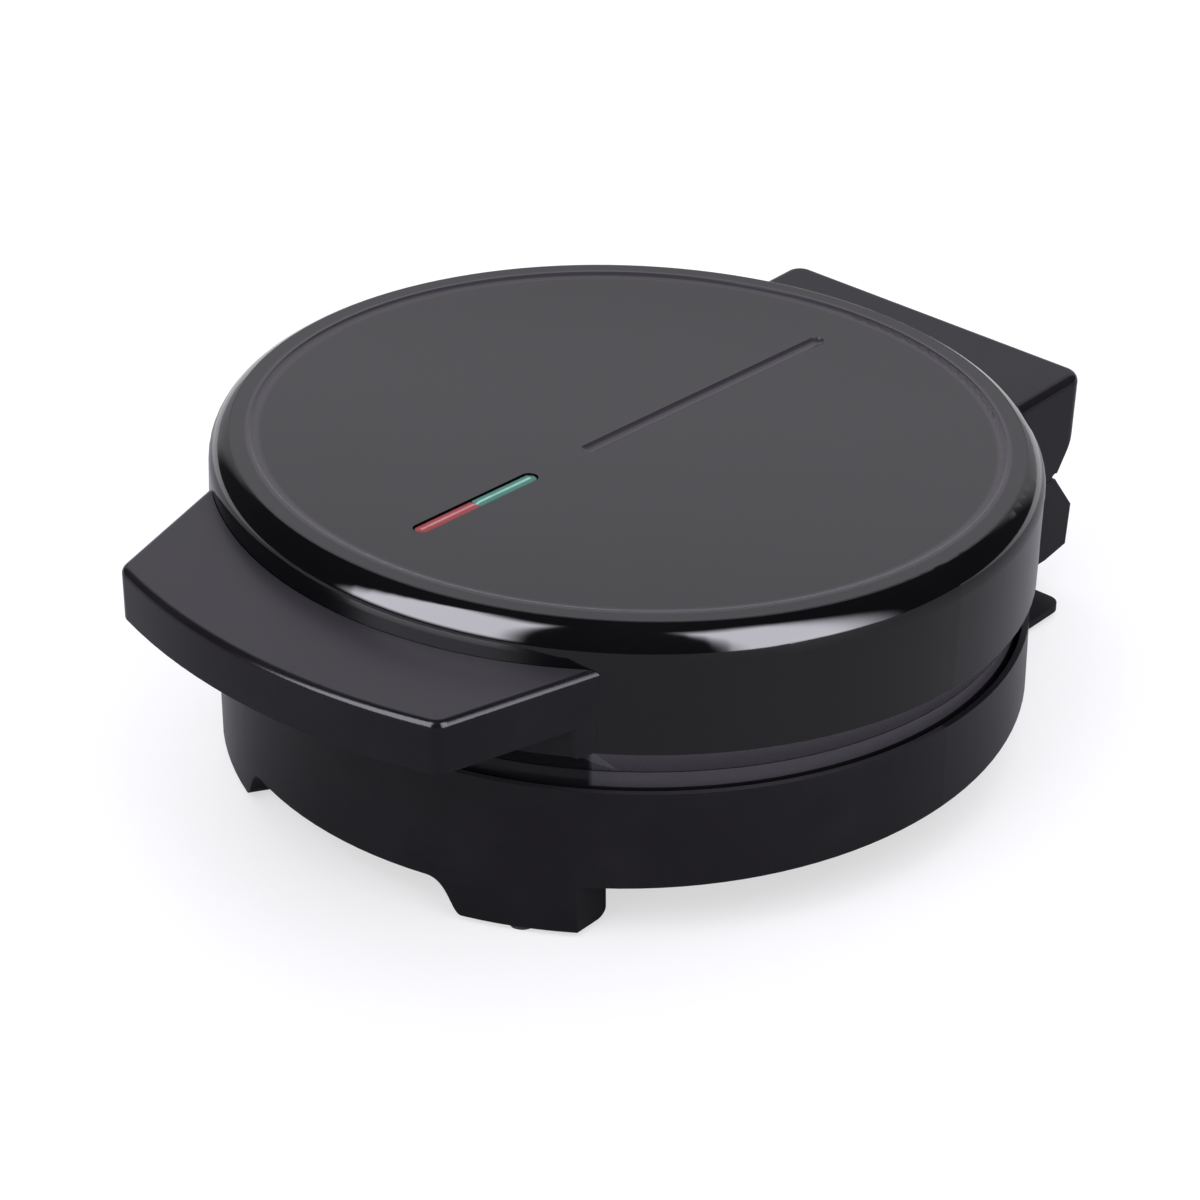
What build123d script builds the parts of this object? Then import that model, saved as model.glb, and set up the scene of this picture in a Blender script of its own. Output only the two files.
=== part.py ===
from build123d import *
import math
import os

os.makedirs("parts", exist_ok=True)

# Axes: the handle points to -Y, the hinge to +Y, the table is Z = 0 and the body's axis is X = Y = 0

# Overall form
seam_tilt = 3.0  # the lid and its seam lean down towards the hinge, in degrees
seam_z = 42.0  # height of the seam above the table, on the body's axis
lid_r = 105.0
overhang = 26.0  # of the handle in front of the lid, and of the hinge cover behind it
root_in = 45.0  # how far the outlines of the handle and of the hinge box run in under the lid
seam_gap = 0.3  # between the closed lid and the base
shell_gap = 0.15  # between two mouldings that are screwed together
wall = 2.2  # of the lid and hinge mouldings
spare = 1.0  # that a cut runs on past the face it goes through

# Round lid cover
band_h = 7.0  # height of the matt band below the glossy cover
rim_h = 39.5  # height of the cover's rim above the seam
rim_flat = 4.7  # between the shoulder and the sunk panel
shoulder_in = 5.2  # how far the rounded shoulder reaches in from the lid's wall
shoulder_r = 8.4
crease_r = 1.2  # where the shoulder breaks off from the flat rim
disc_drop = 0.8
disc_bevel = 0.95
disc_cove_r = 2.6
disc_lip_r = 0.3
line_width = 4.5  # of the lamp window and of the groove behind it
window_edge = 18.1  # from the front of the panel to the window
window_len = 42.4
line_gap = 17.9  # between the window and the groove
groove_edge = 17.5  # from the groove to the back of the panel
groove_depth = 1.0

# Band, seats and fixings of the lid frame and the base ring
ring_inset = 4.0  # of both rings' outer walls at the seam, inside the lid's wall
ring_w = 8.4
ledge_w = 2.6
ledge_t = 3.5
lip_t = 1.5
lip_h = 3.0
screw_r = 1.6
screw_slip = 0.1
screw_head_r = 3.2
screw_head_t = 2.0
small_head_t = 1.2
boss_r = 3.6
boss_gap = 0.4  # between a boss and the wall beside it
lid_screw_len = 16.0
fixing_angles = (45, 135, 225, 315)
lead_port_w = 14.4  # of the notch in the lid's wall that the leads pass through
lead_port_h = 7.2

# Handle
handle_rise = 33.6  # from the seam, on the body's axis, up to the handle's top
handle_drop = 13.8
handle_half = 52.6  # from the middle to a front corner
handle_bow = 8.4  # of the front edge, from its corners to its middle
handle_flare = 16.2  # of the handle's sides, in degrees
handle_corner_r = 5.0
handle_edge_r = 1.9
handle_wall = 2.6
cheek_in = 17.5  # from the lid's front in to the cheeks that carry the handle down to the seam
cheek_t = 6.0
recess_wall = 2.2  # the wall behind the fingers
underside_t = 2.0
underside_lift = 1.4
handle_screw_x = 34.0
handle_screw_out = 11.0  # in front of the lid

# Tub
tub_inset = 1.0  # of the tub's wall, inside the lid's wall
tub_wall = 1.6
tub_floor = 1.6
tub_drop = 4.4  # from the seam to the tub's edge
apron_drop = 3.8  # of the tub's lower edge between the front legs, below the tub's floor
apron_angle = 20.0
right_leg_angle = 27.5  # from the front to the middle of the leg, in degrees
left_leg_angle = 31.7
leg_half = 14.3
leg_flare = 9.4
leg_depth = 8.2
leg_corner_r = 2.5
leg_bottom = 1.5
vent_count = 8
vent_in = 44.0  # from the tub's wall to the middle of the vents
vent_len = 16.0
vent_w = 4.0
tub_boss_h = 5.0
base_screw_angles = (40, 140, 220, 320)
base_screw_len = 18.0
ring_skirt = 12.0

# Waffle plates
plate_slip = 0.3  # between a plate's rim and its seat
plate_flange = 5.8
pan_depth = 12.0
plate_t = 2.2
plate_rim_t = 3.0
stud = 12.5
stud_pitch = 17.0
stud_taper = 9.0
stud_gap = 1.0  # between a stud's corner and the pan's wall
waffle_web = 8.0  # between the tips of facing studs
divider = 3.0
divider_gap = 2.0
plate_boss_circle = 36.0
plate_boss_angles = (30, 150, 270)

# Heating elements and reflectors
element_r = 3.0
element_in = 28.5  # from the pan's wall to the middle of the element's tube
element_bend = 9.0
element_tail = 8.0
element_open = 15.0  # half of the ring's opening, in degrees
pin_terminal_r = 1.3
pin_terminal_len = 6.0
contact = 0.1
reflector_out = 12.0  # of the reflector's lip, outside the middle of the element's tube
reflector_gap = 0.6
reflector_t = 0.6
reflector_lip = 2.0

# Rear hinge
hinge_half = 49.5
hinge_in = 11.3  # from the back of the cover to the hinge axis
cover_rise = 28.4  # from the hinge axis up to the cover's top
slope_rise = 14.0  # from the hinge axis up to the foot of the cover's back
hinge_lean = 1.0
block_out_in = 2.9  # from the back of the cover to the block's upper back edge
block_out_drop = 11.3  # from the hinge axis down to that edge
block_low_in = 4.2
block_low_rise = 1.4
block_heel_in = 13.3
block_drop = 3.7  # of the block's underside, below the tub's floor
hinge_corner_r = 5.0
hinge_edge_r = 2.6
knuckle_r = 4.0
knuckle_slip = 0.5
knuckle_w = 8.0
knuckle_side = 0.4
knuckle_end = 0.9  # between the outer knuckles and the wall of the hinge box
pin_r = 1.75
pin_slip = 0.05
pin_grip = 0.01
waist_slip = 1.5
deck_t = 3.0
deck_edge = 1.0
hinge_screw_x = 18.0
tab_gap = 0.5  # between the block's tabs and the neck of the rear foot
tab_w = 9.0
tab_len = 14.0
tab_root = 3.0
tab_screw_in = 5.0

# Cord storage and rear foot
foot_half = 58.6
foot_out = 10.0  # behind the tub's wall
foot_len = 52.0
foot_t = 2.0
foot_corner_r = 4.0
neck_side = 11.5  # from the hinge block's side in to the neck's side
neck_in = 9.0  # from the tub's wall to the back of the neck
neck_len = 21.0
neck_h = 11.3
neck_wall = 2.4
cord_r = 3.0
cord_x = 14.0
bush_wall = 0.8
bush_flange = 0.5
bush_flange_t = 2.0
bush_len = 8.0
rubber_r = 3.4
rubber_sink = 0.8
rubber_in = 10.0  # from the foot plate's sides to the middle of its rubber feet

# Electrical fittings
thermostat_r = 8.0
thermostat_h = 9.0
thermostat_y = 14.0
thermostat_port = 1.0  # round the thermostat, where it passes the reflector
tag_t = 0.8
tag_w = 4.8
tag_h = 5.0
terminal_gap = 3.0  # between the terminal block and the boss beside it
terminal_in = 15.5  # from the tub's wall to the middle of the terminal block
terminal_len = 24.0
terminal_w = 9.0
terminal_h = 5.8
clamp_x = 30.0
clamp_gap = 1.9  # between the cord clamp and the bosses behind it
clamp_len = 20.0
clamp_w = 7.0
clamp_h = 5.0
cable_hole = 9.0
fuse_r = 1.9
fuse_len = 14.0
fuse_y = -16.0
fuse_wire_r = 0.6
fuse_wire = 3.8  # at each end

# Leads
lead_r = 0.9
lead_bend = 2.0
lead_out = 5.0
lead_gap = 0.6

# Lamps
lens_sink = 0.3
lens_slip = 0.1
lens_flange = 1.3
lens_flange_t = 1.4
lamp_box_wall = 1.0
lamp_box_h = 10.0
lamp_r = 2.4
lamp_len = 13.0

# Worked-out radii, all from the lid's wall
tub_r = lid_r - tub_inset
shoulder_turn = math.acos(1 - shoulder_in / shoulder_r)
crease_in = lid_r - shoulder_in
disc_r = crease_in - rim_flat
groove_r = (line_width**2 / 4 + groove_depth**2) / (2 * groove_depth)
recess_r = lid_r + shell_gap + recess_wall
ring_r = lid_r - ring_inset
ring_bore = ring_r - ring_w
ledge_bore = ring_bore - ledge_w
plate_rim_r = ring_bore - plate_slip
pan_r = plate_rim_r - plate_flange
element_ring_r = pan_r - element_in
reflector_r = element_ring_r + reflector_out
lid_screw_circle = (ring_bore + ring_r) / 2
base_screw_circle = ring_r - wall - boss_r - boss_gap
vent_circle = tub_r - vent_in

# Worked-out planes and heights
tilt = math.radians(seam_tilt)
half_gap = seam_gap / 2
seam = Plane(origin=(0, 0, seam_z), x_dir=(1, 0, 0), z_dir=(0, math.sin(tilt), math.cos(tilt)))
base_side = Plane(origin=(0, 0, seam_z), x_dir=(-1, 0, 0), z_dir=-seam.z_dir)
disc_h = rim_h - disc_drop
ceiling_h = disc_h - wall
shoulder_foot = rim_h - shoulder_r * math.sin(shoulder_turn)
plate_back = pan_depth + plate_t
element_h = plate_back + contact + element_r
reflector_h = element_h + element_r + reflector_gap
ledge_low = 2 * ledge_t - half_gap
foot_top = leg_bottom + foot_t
tub_bottom = foot_top + neck_h
floor_top = tub_bottom + tub_floor
apron_bottom = tub_bottom - apron_drop
handle_top = seam_z + handle_rise
handle_bottom = handle_top - handle_drop
underside_bottom = handle_bottom + underside_lift
underside_top = underside_bottom + underside_t
cord_z = foot_top + shell_gap + bush_flange + bush_wall + cord_r

# Worked-out places along the body, from the handle to the rear foot
reach = lid_r + overhang
handle_root_y = root_in - lid_r
handle_corner_y = handle_bow - reach
cheek_front = cheek_in - lid_r
handle_screw_y = -lid_r - handle_screw_out
handle_screw_places = [(-handle_screw_x, handle_screw_y), (handle_screw_x, handle_screw_y)]
window_front = window_edge - disc_r
window_back = window_front + window_len
window_mid = window_front + window_len / 2
groove_front = window_back + line_gap
groove_back = disc_r - groove_edge
lamp_box_in = lens_flange + shell_gap
lamp_box_side = lamp_box_in + lamp_box_wall
neck_back = tub_r - neck_in
neck_front = neck_back - neck_len
foot_back = tub_r + foot_out
foot_front = foot_back - foot_len
neck_half = hinge_half - neck_side
neck_boss_x = neck_half - neck_wall - boss_r - boss_gap
neck_boss_y = (neck_front + neck_back) / 2
neck_boss_places = [(-neck_boss_x, neck_boss_y), (neck_boss_x, neck_boss_y)]
tab_x = neck_half + tab_gap + tab_w / 2
tab_back = math.sqrt((tub_r + shell_gap) ** 2 - tab_x**2) + tab_root
tab_front = tab_back - tab_len
tab_places = [(-tab_x, (tab_front + tab_back) / 2), (tab_x, (tab_front + tab_back) / 2)]
tab_screw_places = [(-tab_x, tab_front + tab_screw_in), (tab_x, tab_front + tab_screw_in)]
tub_boss_places = [*neck_boss_places, *tab_screw_places]
rear_rubber_x = foot_half - rubber_in
rear_rubber_y = foot_back - rubber_in
rear_rubber_places = [(-rear_rubber_x, rear_rubber_y), (rear_rubber_x, rear_rubber_y)]
terminal_x = boss_r + terminal_gap + terminal_len / 2 - neck_boss_x
terminal_y = tub_r - terminal_in
clamp_y = neck_boss_y - boss_r - clamp_gap

# Worked-out places of the hinge
hinge_y = reach - hinge_in
hinge_z = seam_z - hinge_y * math.tan(tilt)
hinge_top = hinge_z + cover_rise
hinge_root_y = lid_r - root_in
block_bottom = tub_bottom - block_drop
knuckle_step = knuckle_w + knuckle_side
pin_len = 3 * knuckle_w + 2 * knuckle_side
ear_x = hinge_half - wall - knuckle_end - pin_len / 2
ears = (-ear_x, ear_x)
knuckles = (-ear_x - knuckle_step, -ear_x + knuckle_step, ear_x - knuckle_step, ear_x + knuckle_step)
hinge_screw_y = math.sqrt((lid_r + 2 * shell_gap + boss_r) ** 2 - hinge_screw_x**2)
hinge_screw_places = [(-hinge_screw_x, hinge_screw_y), (hinge_screw_x, hinge_screw_y)]
deck_back = hinge_screw_y + boss_r + deck_edge


def seam_height(y):
    """Height of the seam above the table, at a distance y behind the body's axis."""
    return seam_z - y * math.tan(tilt)


def section_of(side):
    """The plane through a side's axis in which the round pieces' sections are drawn."""
    return Plane(origin=side.origin, x_dir=side.x_dir, z_dir=-side.y_dir)


def on_circle(radius, angles):
    """Points on a circle about the body's axis."""
    return [(radius * math.cos(math.radians(a)), radius * math.sin(math.radians(a))) for a in angles]


def corner_at(sketch, x, y):
    """The corner of a sketch nearest to a point, both in the sketch's own plane."""
    return sketch.vertices().sort_by_distance((x, y, 0))[0]


def save(part, label):
    """Name one finished piece and write its file."""
    part.label = label
    export_step(part, "parts/" + label + ".step")


def handle_outline(inset):
    """The handle's plan: flared sides and a bowed front, drawn smaller by an inset."""
    slope = math.tan(math.radians(handle_flare))
    corner_x = handle_half - inset / math.cos(math.radians(handle_flare))
    root_x = corner_x + slope * (handle_root_y - handle_corner_y)
    corner_y = handle_corner_y + inset
    with BuildLine() as outline:
        Polyline((-corner_x, corner_y), (-root_x, handle_root_y), (root_x, handle_root_y), (corner_x, corner_y))
        ThreePointArc((corner_x, corner_y), (0, -reach + inset), (-corner_x, corner_y))
    return outline.line


def rear_profile():
    """The hinge cover's side view, from the seam up, as a list of points."""
    return [
        (hinge_root_y, seam_height(hinge_root_y)),
        (hinge_y, hinge_z),
        (reach - hinge_lean, hinge_z + slope_rise),
        (reach, hinge_top),
        (hinge_root_y, hinge_top),
    ]


def block_profile():
    """The hinge block's side view, from the seam down, as a list of points."""
    return [
        (hinge_root_y, seam_height(hinge_root_y)),
        (hinge_y, hinge_z),
        (reach - block_out_in, hinge_z - block_out_drop),
        (reach - block_low_in, block_bottom + block_low_rise),
        (reach - block_heel_in, block_bottom),
        (hinge_root_y, block_bottom),
    ]


# Glossy lid cover: a round cap with a sunk panel, a lamp window and a groove
section = section_of(seam)
with BuildPart(seam.offset(disc_h - groove_depth + groove_r)) as groove_bar:
    with Locations((0, groove_front + line_width / 2), (0, groove_back - line_width / 2)):
        Sphere(groove_r)
    with Locations((0, (groove_front + groove_back) / 2)):
        Cylinder(groove_r, groove_back - groove_front - line_width, rotation=(90, 0, 0))

with BuildPart() as lid_cover:
    with BuildSketch(section) as cover_section:
        with BuildLine():
            shoulder = CenterArc(
                (lid_r - shoulder_r, shoulder_foot), shoulder_r, 0, math.degrees(shoulder_turn)
            )
            Polyline(
                shoulder @ 0,
                (lid_r, band_h),
                (lid_r - wall, band_h),
                (lid_r - wall, ceiling_h),
                (0, ceiling_h),
                (0, disc_h),
                (disc_r - disc_bevel, disc_h),
                (disc_r, rim_h),
                shoulder @ 1,
            )
        make_face()
        fillet(corner_at(cover_section, lid_r - wall, ceiling_h), shoulder_r - wall)
        fillet(corner_at(cover_section, crease_in, rim_h), crease_r)
        fillet(corner_at(cover_section, disc_r - disc_bevel, disc_h), disc_cove_r)
        fillet(corner_at(cover_section, disc_r, rim_h), disc_lip_r)
    revolve(axis=Axis(seam.origin, seam.z_dir))
    with BuildSketch(seam.offset(band_h)):
        with Locations(*on_circle(lid_screw_circle, fixing_angles)):
            Circle(boss_r)
    extrude(until=Until.NEXT)
    with BuildSketch(seam.offset(band_h)):
        with Locations(*on_circle(lid_screw_circle, fixing_angles)):
            Circle(screw_r + screw_slip)
    extrude(amount=lid_screw_len - band_h + spare, mode=Mode.SUBTRACT)
    with BuildSketch(seam.offset(disc_h)):
        with Locations((0, window_mid)):
            SlotOverall(window_len, line_width, rotation=90)
    extrude(amount=-2 * wall, mode=Mode.SUBTRACT)
    add(groove_bar.part, mode=Mode.SUBTRACT)
    with BuildSketch(seam.offset(band_h)):
        with Locations((0, lid_r)):
            Rectangle(lead_port_w, 6 * wall)
    extrude(amount=lead_port_h, mode=Mode.SUBTRACT)
save(lid_cover.part, "lid_cover")

# Lid frame: the matt band with its plate seat, the handle shell, the deck and the ears of the hinge
with BuildPart() as recess:
    with BuildSketch(Plane.XY.offset(handle_bottom)):
        make_face(handle_outline(cheek_t))
        with Locations((0, cheek_front - reach)):
            Rectangle(4 * reach, 2 * reach)
    extrude(amount=-handle_top)
    with BuildSketch(seam.offset(-handle_top)):
        Circle(recess_r)
    extrude(amount=3 * handle_top, mode=Mode.SUBTRACT)

with BuildPart() as handle_hollow:
    with BuildSketch(Plane.XY.offset(handle_bottom)):
        make_face(handle_outline(handle_wall))
    extrude(amount=handle_drop - handle_wall)
    with BuildSketch(seam):
        Circle(recess_r)
    extrude(amount=2 * rim_h, mode=Mode.SUBTRACT)

with BuildPart() as lid_frame:
    with BuildSketch(Plane.XY.offset(handle_top)):
        make_face(handle_outline(0))
    extrude(amount=-handle_top)
    fillet(lid_frame.edges().filter_by(Axis.Z).group_by(Axis.Y)[0], handle_corner_r)
    top_edges = lid_frame.faces().sort_by(Axis.Z)[-1].edges()
    fillet(top_edges.filter_by(lambda e: e.center().Y < handle_root_y - spare), handle_edge_r)
    split(bisect_by=seam.offset(half_gap), keep=Keep.TOP)
    with BuildSketch(section):
        with BuildLine():
            Polyline((ring_r, half_gap), (recess_r, band_h), (2 * reach, band_h), (2 * reach, half_gap), close=True)
        make_face()
    revolve(axis=Axis(seam.origin, seam.z_dir), mode=Mode.SUBTRACT)
    with BuildSketch(seam.offset(band_h)):
        Circle(lid_r + shell_gap)
    extrude(amount=2 * rim_h, mode=Mode.SUBTRACT)
    with BuildSketch(seam):
        Circle(ring_r - wall)
    extrude(amount=2 * band_h, mode=Mode.SUBTRACT)
    add(recess.part, mode=Mode.SUBTRACT)
    add(handle_hollow.part, mode=Mode.SUBTRACT)
    with BuildSketch(Plane.XY.offset(underside_top)):
        with Locations(*handle_screw_places):
            Circle(boss_r)
            Circle(screw_r + screw_slip, mode=Mode.SUBTRACT)
    extrude(amount=handle_top - handle_wall - underside_top)
    with BuildSketch(seam.offset(half_gap)):
        with Locations((0, (ledge_bore + deck_back) / 2)):
            Rectangle(2 * (hinge_half - wall - shell_gap), deck_back - ledge_bore)
        Circle(ring_r - wall, mode=Mode.SUBTRACT)
    extrude(amount=deck_t)
    for ear in ears:
        with BuildSketch(Plane.YZ.offset(ear - knuckle_w / 2)):
            with Locations((hinge_y, hinge_z)):
                Circle(knuckle_r)
            with BuildLine():
                Polyline(
                    (hinge_y - 3 * knuckle_r, seam_height(hinge_y - 3 * knuckle_r) + half_gap),
                    (hinge_y, hinge_z),
                    (hinge_y, hinge_z + knuckle_r),
                    (hinge_y - knuckle_r, hinge_z + 2 * knuckle_r),
                    (hinge_y - 3 * knuckle_r, hinge_z + 2 * knuckle_r),
                    close=True,
                )
            make_face()
            with Locations((hinge_y, hinge_z)):
                Circle(pin_r + pin_slip, mode=Mode.SUBTRACT)
        extrude(amount=knuckle_w)
    with BuildSketch(section):
        with BuildLine():
            Polyline(
                (ring_bore, half_gap),
                (ring_r, half_gap),
                (lid_r, band_h),
                (lid_r - wall - shell_gap, band_h),
                (lid_r - wall - shell_gap, band_h + lip_h),
                (lid_r - wall - shell_gap - lip_t, band_h + lip_h),
                (lid_r - wall - shell_gap - lip_t, band_h),
                (ledge_bore, band_h),
                (ledge_bore, ledge_t),
                (ring_bore, ledge_t),
                close=True,
            )
        make_face()
    revolve(axis=Axis(seam.origin, seam.z_dir))
    with BuildSketch(seam):
        with Locations(*on_circle(lid_screw_circle, fixing_angles)):
            Circle(screw_r + screw_slip)
    extrude(amount=band_h + spare, mode=Mode.SUBTRACT)
    with BuildSketch(seam):
        with Locations(*on_circle(lid_screw_circle, fixing_angles)):
            Circle(screw_head_r + screw_slip)
    extrude(amount=screw_head_t + 2 * half_gap, mode=Mode.SUBTRACT)
    with BuildSketch(seam):
        with Locations(*hinge_screw_places):
            Circle(screw_r + screw_slip)
    extrude(amount=2 * deck_t, mode=Mode.SUBTRACT)
    with BuildSketch(seam):
        with Locations(*hinge_screw_places):
            Circle(screw_head_r + screw_slip)
    extrude(amount=half_gap + deck_t / 2, mode=Mode.SUBTRACT)
    with BuildSketch(seam.offset(band_h)):
        with Locations((0, lid_r - wall - lip_t)):
            Rectangle(lead_port_w, 3 * wall)
    extrude(amount=lip_h + spare, mode=Mode.SUBTRACT)
save(lid_frame.part, "lid_frame")

with BuildPart() as handle_underside:
    with BuildSketch(Plane.XY.offset(underside_bottom)):
        make_face(handle_outline(handle_wall + shell_gap))
        with Locations(*handle_screw_places):
            Circle(screw_r + screw_slip, mode=Mode.SUBTRACT)
    extrude(amount=underside_t)
    with BuildSketch(seam):
        Circle(recess_r + shell_gap)
    extrude(amount=2 * rim_h, mode=Mode.SUBTRACT)
save(handle_underside.part, "handle_underside")

with BuildPart() as handle_screws:
    with BuildSketch(Plane.XY.offset(underside_bottom - small_head_t)):
        with Locations(*handle_screw_places):
            Circle(screw_head_r)
    extrude(amount=small_head_t)
    with BuildSketch(Plane.XY.offset(underside_bottom)):
        with Locations(*handle_screw_places):
            Circle(screw_r)
    extrude(amount=handle_drop - handle_wall - underside_lift)
save(handle_screws.part, "handle_screws")

# Hinge cover: a hollow box behind the lid, cut back below so that the lid can swing open
with BuildPart() as hinge_cover:
    with BuildSketch(Plane.YZ.offset(-hinge_half)):
        with BuildLine():
            Polyline(*rear_profile(), close=True)
        make_face()
    extrude(amount=2 * hinge_half)
    side_edges = hinge_cover.edges().filter_by(lambda e: abs(e.center().X) > hinge_half - spare)
    fillet(side_edges.group_by(Axis.Y)[-1], hinge_corner_r)
    cover_top = hinge_cover.faces().sort_by(Axis.Z)[-1]
    fillet(cover_top.edges().filter_by(lambda e: e.center().Y > hinge_root_y + spare), hinge_edge_r)
    with BuildSketch(Plane.YZ.offset(wall - hinge_half)):
        with BuildLine():
            Polyline(*rear_profile(), close=True)
        make_face()
        offset(amount=-wall, kind=Kind.INTERSECTION)
        with BuildLine():
            Polyline(
                (hinge_root_y, 0),
                (hinge_y, 0),
                (hinge_y, hinge_z + 2 * wall),
                (hinge_root_y, hinge_z + 2 * wall),
                close=True,
            )
        make_face()
    extrude(amount=2 * (hinge_half - wall), mode=Mode.SUBTRACT)
    with BuildSketch(seam):
        Circle(lid_r + shell_gap)
    extrude(amount=2 * rim_h, mode=Mode.SUBTRACT)
    split(bisect_by=seam.offset(half_gap), keep=Keep.TOP)
    with BuildSketch(Plane.YZ.offset(wall - hinge_half)):
        with Locations((hinge_y, hinge_z)):
            Circle(knuckle_r + knuckle_slip)
    extrude(amount=2 * (hinge_half - wall), mode=Mode.SUBTRACT)
    with BuildSketch(Plane.YZ.offset(-hinge_half)):
        with Locations((hinge_y, hinge_z)):
            Circle(waist_slip)
    extrude(amount=2 * hinge_half, mode=Mode.SUBTRACT)
    with BuildSketch(seam.offset(half_gap + deck_t)):
        with Locations(*hinge_screw_places):
            Circle(boss_r)
            Circle(screw_r + screw_slip, mode=Mode.SUBTRACT)
    extrude(amount=hinge_top - wall / 2 - seam_height(hinge_screw_y) - half_gap - deck_t)
save(hinge_cover.part, "hinge_cover")

with BuildPart() as hinge_cover_screws:
    with BuildSketch(seam.offset(half_gap)):
        with Locations(*hinge_screw_places):
            Circle(screw_head_r)
    extrude(amount=deck_t / 2)
    with BuildSketch(seam.offset(half_gap)):
        with Locations(*hinge_screw_places):
            Circle(screw_r)
    extrude(amount=4 * deck_t)
save(hinge_cover_screws.part, "hinge_cover_screws")

with BuildPart() as lid_screws:
    with BuildSketch(seam.offset(2 * half_gap)):
        with Locations(*on_circle(lid_screw_circle, fixing_angles)):
            Circle(screw_head_r)
    extrude(amount=screw_head_t)
    with BuildSketch(seam.offset(2 * half_gap)):
        with Locations(*on_circle(lid_screw_circle, fixing_angles)):
            Circle(screw_r)
    extrude(amount=lid_screw_len - 2 * half_gap)
save(lid_screws.part, "lid_screws")


# Waffle plates, heating elements and reflectors: one of each in the lid and in the base
def stud_places():
    """Middles of the square studs that fit inside the round pan."""
    count = int(pan_r // stud_pitch) + 1
    steps = [stud_pitch * (k + 0.5) for k in range(-count, count)]
    far = stud / 2
    return [(x, y) for x in steps for y in steps if math.hypot(abs(x) + far, abs(y) + far) < pan_r - stud_gap]


def grid_plate(side):
    """A cast pan with its mouth on the seam, square studs, a dividing cross and three bosses."""
    with BuildPart() as plate:
        with BuildSketch(side.offset(half_gap)):
            Circle(plate_rim_r)
        extrude(amount=plate_rim_t)
        with BuildSketch(side.offset(half_gap)):
            Circle(pan_r + plate_t)
        extrude(amount=plate_back - half_gap)
        with BuildSketch(side.offset(half_gap)):
            Circle(pan_r)
        extrude(amount=pan_depth - half_gap, mode=Mode.SUBTRACT)
        with BuildSketch(side.offset(pan_depth)):
            with Locations(*stud_places()):
                Rectangle(stud, stud)
        extrude(amount=waffle_web / 2 - pan_depth, taper=stud_taper)
        with BuildSketch(side.offset(pan_depth)):
            Rectangle(2 * pan_r + plate_t, divider)
            Rectangle(divider, 2 * pan_r + plate_t)
        extrude(amount=divider_gap / 2 - pan_depth)
        with BuildSketch(side.offset(plate_back)):
            with Locations(*on_circle(plate_boss_circle, plate_boss_angles)):
                Circle(boss_r)
                Circle(screw_r + screw_slip, mode=Mode.SUBTRACT)
        extrude(amount=reflector_h - plate_back)
    return plate.part


def heating_element(side):
    """A tubular ring under a plate, its two tails turned out to the terminals at the back."""
    with BuildPart() as element:
        with BuildLine(side.offset(element_h)) as tube:
            ring = CenterArc((0, 0), element_ring_r, 90 + element_open, 360 - 2 * element_open)
            bend_a = JernArc(ring @ 1, ring % 1, element_bend, -90)
            Line(bend_a @ 1, (bend_a @ 1) + (bend_a % 1) * element_tail)
            bend_b = JernArc(ring @ 0, (ring % 0) * -1, element_bend, 90)
            Line(bend_b @ 1, (bend_b @ 1) + (bend_b % 1) * element_tail)
        wire = tube.wires()[0]
        with BuildSketch(Plane(origin=wire @ 0, z_dir=wire % 0)):
            Circle(element_r)
        sweep(path=wire)
        for end in element.faces().filter_by(GeomType.PLANE):
            with BuildSketch(Plane(end)):
                Circle(pin_terminal_r)
            extrude(amount=pin_terminal_len)
    return element.part


def reflector(side, port):
    """A thin lipped dish behind a heating element, with a round port where the thermostat passes."""
    with BuildPart() as dish:
        with BuildSketch(section_of(side)):
            with BuildLine():
                Polyline(
                    (0, reflector_h),
                    (reflector_r - reflector_t, reflector_h),
                    (reflector_r - reflector_t, reflector_h - reflector_lip),
                    (reflector_r, reflector_h - reflector_lip),
                    (reflector_r, reflector_h + reflector_t),
                    (0, reflector_h + reflector_t),
                    close=True,
                )
            make_face()
        revolve(axis=Axis(side.origin, side.z_dir))
        with BuildSketch(side.offset(reflector_h - reflector_lip)):
            with Locations((0, reflector_r)):
                Rectangle(2 * element_ring_r, 4 * element_r)
            with Locations(*on_circle(plate_boss_circle, plate_boss_angles)):
                Circle(screw_r + screw_slip)
            if port > 0:
                with Locations((0, thermostat_y)):
                    Circle(port)
        extrude(amount=reflector_lip + 2 * reflector_t, mode=Mode.SUBTRACT)
    return dish.part


def plate_screws(side):
    """Three screws that clamp a reflector to the bosses of its plate."""
    with BuildPart() as screws:
        with BuildSketch(side.offset(reflector_h + reflector_t)):
            with Locations(*on_circle(plate_boss_circle, plate_boss_angles)):
                Circle(screw_head_r)
        extrude(amount=small_head_t)
        with BuildSketch(side.offset(reflector_h + reflector_t)):
            with Locations(*on_circle(plate_boss_circle, plate_boss_angles)):
                Circle(screw_r)
        extrude(amount=plate_back - reflector_h)
    return screws.part


save(grid_plate(seam), "upper_grid_plate")
save(grid_plate(base_side), "lower_grid_plate")
save(heating_element(seam), "upper_heating_element")
save(heating_element(base_side), "lower_heating_element")
save(reflector(seam, thermostat_r + thermostat_port), "upper_reflector")
save(reflector(base_side, 0), "lower_reflector")
save(plate_screws(seam), "upper_plate_screws")
save(plate_screws(base_side), "lower_plate_screws")

# Thermostat on the back of the upper plate
with BuildPart() as thermostat:
    with BuildSketch(seam.offset(plate_back)):
        with Locations((0, thermostat_y)):
            Circle(thermostat_r)
    extrude(amount=thermostat_h)
    with BuildSketch(seam.offset(plate_back + thermostat_h)):
        with Locations((-thermostat_r / 2, thermostat_y), (thermostat_r / 2, thermostat_y)):
            Rectangle(tag_t, tag_w)
    extrude(amount=tag_h)
save(thermostat.part, "thermostat")


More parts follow.
